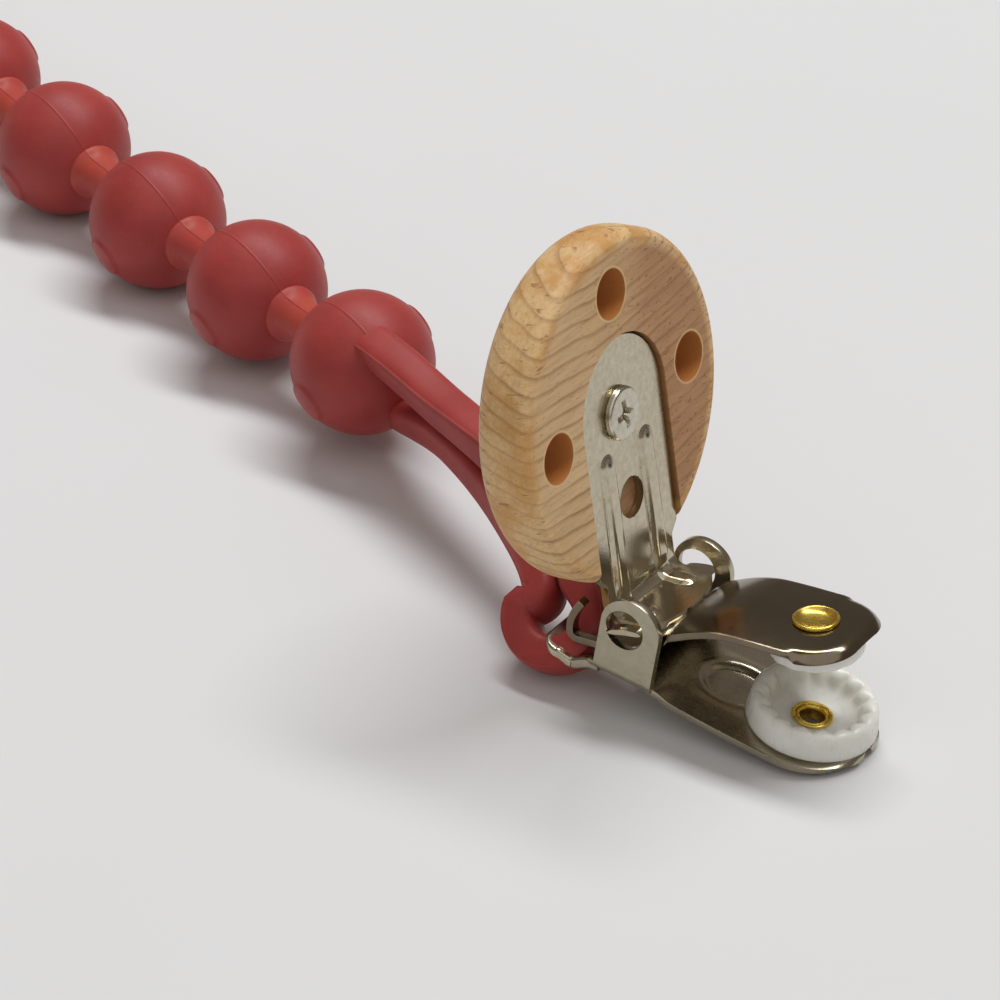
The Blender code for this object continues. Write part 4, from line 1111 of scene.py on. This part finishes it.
def addEyelet(name, size, place, body, node, grip):
    flange, bore, roll = size["flange"], size["bore"], size["roll"]
    barrel = eyelet["barrel"]
    # end in the pad: two thin rolled rims with a groove between
    profile = [(bore, grip - 0.3 * mm), (bore + 0.05 * mm, grip - 0.02 * mm)]
    profile += arc(bore + 0.26 * mm, grip + 0.06 * mm, 0.15 * mm, 150, 30, 6)
    profile += [(bore + 0.5 * mm, grip + 0.01 * mm)]
    profile += arc(flange - roll, grip + roll * 0.6, roll, 130, -60, 10)
    profile += [(barrel + 0.2 * mm, grip - 0.02 * mm), (barrel, grip - 0.1 * mm)]
    profile += [(barrel, 0.05 * mm)]
    # end on the sheet: a raised rim round a shallow dish
    low = flange + 0.05 * mm
    profile += [(barrel + 0.15 * mm, 0)]
    profile += arc(low - roll, -roll * 0.7, roll, 60, -130, 12)
    if size["closed"]:
        profile += [(low - 2.2 * roll, -roll * 0.7), (bore, -0.03 * mm), (0.5 * mm, 0.02 * mm)]
        profile += [(0.02 * mm, 0.03 * mm), (0.02 * mm, 0.35 * mm), (bore - 0.3 * mm, 0.36 * mm)]
        profile += [(bore, 0.6 * mm)]
    else:
        profile += [(bore + 0.45 * mm, -roll * 0.8), (bore + 0.1 * mm, -roll * 0.2)]
        profile += [(bore, 0.3 * mm)]
    made = objectFrom(name, loftWork(turnedRings(profile, 96), closed=True), angle=60)
    dress(made, place, brassMade, body, node)


grip = pad["play"] + pad["floor"] + base["sheet"]
lowerSeat = Matrix.Translation((base["padX"], 0, -base["sheet"]))
addEyelet("lowerEyelet", eyelet["lower"], clipFrame @ lowerSeat, "base", "lower_eyelet", grip)
upperSeat = Matrix.Translation((jaw["rivetX"], 0, jawUnder + jaw["sheet"])) @ flip
addEyelet("upperEyelet", eyelet["upper"], jawFrame @ upperSeat, "jaw", "upper_eyelet", grip)
print("pads and eyelets set")


# Silicone strand: beads on one mould parting plane, necks, and a loop at each end
bead = {
    "radius": 7.9 * mm,
    "pitch": 22.0 * mm,
    "count": 6,
    "heading": math.radians(156.8),
    "firstBack": 50.1 * mm,
    "firstTurn": math.radians(148.3),
    "rise": (1.9 * mm, 0.8 * mm),
    "parting": Vector((0.373, 0.859, 0.351)),
    "seam": 0.07 * mm,
    "markRadius": 2.3 * mm,
    "markHeight": 0.26 * mm,
}
neck = {"radius": 2.5 * mm, "flare": 0.75 * mm}
barCentre = clipFrame @ Vector((-ring["barX"], -leg["side"], barZ))
firstWay = Vector((math.cos(bead["firstTurn"]), math.sin(bead["firstTurn"]), 0))
flatWay = Vector((math.cos(bead["heading"]), math.sin(bead["heading"]), 0))
firstCentre = barCentre + firstWay * bead["firstBack"]
firstCentre.z = tableHeight + bead["radius"] + bead["rise"][0]
centres = [firstCentre]
for i in range(1, bead["count"]):
    rise = bead["rise"][i] if i < len(bead["rise"]) else 0
    drop = centres[-1].z - (tableHeight + bead["radius"] + rise)
    reach = math.sqrt(bead["pitch"] ** 2 - drop**2)
    centres.append(centres[-1] + flatWay * reach - Vector((0, 0, drop)))

# Its silicone: dusty brick red, faint bloom and fine grain
silicone = {
    "red": (0.40, 0.052, 0.046),
    "deep": (0.31, 0.036, 0.032),
    "neck": (0.46, 0.070, 0.040),
    "finish": {
        "Subsurface Weight": 0.12,
        "Subsurface Radius": (1.0, 0.25, 0.15),
        "Subsurface Scale": 0.0015,
        "Specular IOR Level": 0.3,
        "Sheen Weight": 0.03,
        "Sheen Roughness": 0.45,
        "Sheen Tint": (1.0, 0.8, 0.78, 1),
    },
}


def siliconeLook(name, colour, deep):
    look = Look(name, colour, 0.5)
    cloud = look.noise(160, 4.0, 0.6)
    dust = look.noise(2400, 3.0, 0.7)
    tone = look.mix(look.rise(cloud, 0.3, 0.75), deep, colour)
    bright = tuple(min(1, c * 1.25 + 0.02) for c in colour)
    dusty = look.times(look.rise(dust, 0.55, 0.8), 0.28)
    tone = look.mix(dusty, tone, bright)
    look.feed("Base Color", tone)
    look.feed("Roughness", look.ramp(dust, [(0.3, 0.42), (0.8, 0.56)]))
    look.relief(dust, 0.00003, 0.3)
    look.relief(look.noise(420, 2.0, 0.5), 0.00008, 0.25)
    for part, value in silicone["finish"].items():
        look.set(part, value)
    return look.made


siliconeMade = siliconeLook("siliconeRed", silicone["red"], silicone["deep"])
neckMade = siliconeLook("siliconeNeck", silicone["neck"], silicone["red"])
bodies = ["clip_loop", "bead_2", "bead_3", "bead_4", "bead_5", "soother_loop"]


def partingAt(way):
    normal = bead["parting"] - way * bead["parting"].dot(way)
    return normal.normalized()


def addBead(index):
    radius = bead["radius"]
    last = bead["count"] - 1
    way = (centres[min(index + 1, last)] - centres[min(index, last - 1)]).normalized()
    profile = []
    mark = bead["markRadius"] / radius
    angles = [0.02, 0.1, 0.19, mark - 0.045, mark - 0.02, mark, mark + 0.025, mark + 0.06]
    angles += [mark + 0.06 + (math.pi / 2 - 0.03 - mark - 0.06) * i / 30 for i in range(1, 31)]
    angles += [math.pi / 2 - 0.017, math.pi / 2 - 0.009, math.pi / 2]
    for angle in angles:
        lift = bead["markHeight"] * ease((mark + 0.05 - angle) / 0.08)
        lift += bead["seam"] * max(0, 1 - abs(angle - math.pi / 2) / 0.016)
        profile.append(((radius + lift) * math.sin(angle), (radius + lift) * math.cos(angle)))
    profile += [(r, -h) for r, h in reversed(profile[:-1])]
    made = objectFrom(f"bead{index + 1}", loftWork(turnedRings(profile, 128)), angle=70)
    turn = partingAt(way).to_track_quat("Z", "Y").to_matrix().to_4x4()
    node = f"bead_{index + 1}" if 0 < index < last else None
    place = Matrix.Translation(centres[index]) @ turn
    dress(made, place, siliconeMade, bodies[index], node)


def sectionAngles(near):
    # close together at the parting line's two ridges
    far = [180 + n for n in near]
    found = near + list(range(15, 166, 10)) + far + list(range(195, 346, 10))
    return [math.radians(a) for a in found]


ridgeAngles = sectionAngles([-4, -1.6, 0, 1.6, 4])
strapAngles = sectionAngles([-11, -6, 0, 6, 11])
strapSeam = math.radians(47)  # where round the strap's section the parting ridge sits


def addNeck(index):
    # from inside the bead before to inside this one, straight, flaring where it meets each
    start, end = centres[index - 1], centres[index]
    way = (end - start).normalized()
    normal = partingAt(way)
    aside = normal.cross(way)
    radius, reach = bead["radius"], (end - start).length
    first, last = radius - 1.2 * mm, reach - radius + 1.2 * mm
    rings = []
    for i in range(33):
        along = first + (last - first) * i / 32
        edge = min(along - radius, reach - radius - along)
        flare = neck["flare"] * math.exp(-max(edge + 0.3 * mm, 0) / (0.55 * mm))
        size = neck["radius"] + flare
        ring = []
        for angle in ridgeAngles:
            lift = bead["seam"] * (abs(math.sin(angle)) < 0.01)
            across, up = aside * math.cos(angle) * (size + lift), normal * math.sin(angle) * size
            ring.append(start + way * along + across + up)
        rings.append(ring)
    made = objectFrom(f"neck{index + 1}", loftWork(rings), angle=75)
    made.data.materials.append(neckMade)
    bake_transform(made)


def loopRings(medial, guides, spread, thickness, width, endRadius, steps):
    count = len(medial) - 1
    places = []
    for i, point in enumerate(medial):
        along = (medial[min(i + 1, count)] - medial[max(i - 1, 0)]).normalized()
        aside = (guides[i] - along * guides[i].dot(along)).normalized()
        places.append((point, along, aside, aside.cross(along)))
    path = [(p + aside * spread[i], flat) for i, (p, along, aside, flat) in enumerate(places)]
    centre, along, aside, flat = places[-1]
    for i in range(1, steps):
        angle = math.pi * i / steps
        turned = aside * math.cos(angle) + along * math.sin(angle)
        path.append((centre + turned * endRadius, flat))
    back = [(p - aside * spread[i], flat) for i, (p, along, aside, flat) in enumerate(places)]
    path += reversed(back)
    rings = []
    last = len(path) - 1
    for i, (point, flat) in enumerate(path):
        along = (path[min(i + 1, last)][0] - path[max(i - 1, 0)][0]).normalized()
        across = flat.cross(along).normalized()
        up = along.cross(across)
        ring = []
        for angle in strapAngles:
            c, s = math.cos(angle + strapSeam), math.sin(angle + strapSeam)
            a = math.copysign(abs(c) ** 0.6, c) * thickness / 2
            b = math.copysign(abs(s) ** 0.6, s) * width / 2
            side = Vector((a, b)).normalized() * bead["seam"] * 2.0 * (abs(math.sin(angle)) < 0.01)
            ring.append(point + across * (a + side.x) + up * (b + side.y))
        rings.append(ring)
    return rings


loopShape = {
    "leave": Vector((18.8, -8.3, 2.9)) * mm,  # handles of the legs' middle line
    "arrive": Vector((-0.2, 5.0, 5.6)) * mm,
    "rootSpread": 8.6 * mm,
    "closing": 3.2 * mm,
    "start": 0.03,  # share of the way at which the legs begin, inside the first bead
    "firstGuide": Vector((-0.2, -0.3, 0.93)),
}


def addClipLoop():
    end = barCentre + Vector((leg["endShift"], 0, 0))
    end.z = tableHeight + leg["endRadius"] + leg["thickness"] / 2 + 0.03 * mm
    handleA = firstCentre + loopShape["leave"]
    handleB = end + loopShape["arrive"]
    steps = 96
    medial, guides, spread = [], [], []
    for i in range(steps + 1):
        t = loopShape["start"] + (1 - loopShape["start"]) * i / steps
        a, b, c, d = (1 - t) ** 3, 3 * t * (1 - t) ** 2, 3 * t * t * (1 - t), t**3
        point = firstCentre * a + handleA * b + handleB * c + end * d
        medial.append(point)
        guides.append(loopShape["firstGuide"] * (1 - t) + Vector((1, 0, 0)) * t)
        half = (leg["thickness"] + leg["gap"] * 0.4) / 2
        half += (leg["endRadius"] - half) * (1 - ease((point - end).length / loopShape["closing"]))
        away = (point - firstCentre).length - 0.3 * bead["radius"]
        half += (loopShape["rootSpread"] / 2 - half) * (1 - ease(away / (2.2 * bead["radius"])))
        spread.append(half)
    rings = loopRings(medial, guides, spread, leg["thickness"], leg["width"], leg["endRadius"], 40)
    made = objectFrom("clipLoop", loftWork(rings), angle=75)
    dress(made, Matrix(), siliconeMade, "clip_loop", "clip_loop_bead")


soother = {"length": 36.0 * mm, "width": 17.0 * mm, "thickness": 3.6 * mm}


def addSootherLoop():
    centre, radius = centres[-1], bead["radius"]
    endRadius = (soother["width"] - soother["thickness"]) / 2 - 0.15 * mm
    reach = radius + soother["length"] - endRadius - soother["thickness"] / 2 - 0.3 * mm
    low = tableHeight + leg["width"] / 2
    root = loopShape["rootSpread"] / 2
    guide = Vector((0, 0, 1)).cross(flatWay)
    medial, spread = [], []
    for i in range(49):
        share = i / 48
        point = centre + flatWay * (radius * 0.4 + (reach - radius * 0.4) * share)
        medial.append(Vector((point.x, point.y, centre.z + (low - centre.z) * ease(share / 0.85))))
        spread.append(root + (endRadius - root) * ease(share / 0.6))
    sizes = (soother["thickness"], leg["width"], endRadius)
    rings = loopRings(medial, [guide] * 49, spread, *sizes, 48)
    made = objectFrom("sootherLoop", loftWork(rings), angle=75)
    dress(made, Matrix(), siliconeMade, "soother_loop", "soother_loop_bead")


for i in range(bead["count"]):
    addBead(i)
for i in range(1, bead["count"]):
    addNeck(i)
addClipLoop()
addSootherLoop()
print("silicone strand moulded")


# Table and lights
room = {
    "lampColour": (0.985, 1.0, 1.012),
    "table": (0.70, 0.70, 0.705),
    "world": (0.185, 0.162, 0.142),
    "key": {"way": (0.003, 0.364, 0.931), "away": 2.5, "power": 55.0, "long": 2.7, "wide": 0.5},
    "fill": {"way": (0.30, -0.52, 0.80), "away": 1.0, "strength": 0.72, "angle": 80.0},
}


def addRoom():
    work = bmesh.new()
    bmesh.ops.create_grid(work, x_segments=2, y_segments=2, size=4.0)
    table = objectFrom("table", work)
    table.location = (0, 0, tableHeight - 0.02 * mm)
    look = Look("tableTop", room["table"], 0.85)
    cloud = look.noise(18, 3.0, 0.5)
    pale = tuple(c * 1.02 for c in room["table"])
    dim = tuple(c * 0.98 for c in room["table"])
    look.feed("Base Color", look.mix(cloud, dim, pale))
    look.set("Specular IOR Level", 0.2)
    table.data.materials.append(look.made)
    world = bpy.data.worlds.new("room")
    world.use_nodes = True
    backdrop = world.node_tree.nodes["Background"]
    backdrop.inputs[0].default_value = (*room["world"], 1)
    backdrop.inputs[1].default_value = 1.0
    scene.world = world
    key = bpy.data.lights.new("key", "AREA")
    key.shape, key.size, key.size_y = "RECTANGLE", room["key"]["long"], room["key"]["wide"]
    key.energy = room["key"]["power"]
    fill = bpy.data.lights.new("fill", "SUN")
    fill.energy, fill.angle = room["fill"]["strength"], math.radians(room["fill"]["angle"])
    for data in (key, fill):
        way = Vector(room[data.name]["way"]).normalized()
        made = bpy.data.objects.new(data.name, data)
        scene.collection.objects.link(made)
        made.location = way * room[data.name]["away"]
        made.rotation_euler = way.to_track_quat("Z", "Y").to_euler()
        data.color = room["lampColour"]


addRoom()
scene.view_settings.view_transform = "Standard"
print("room lit")
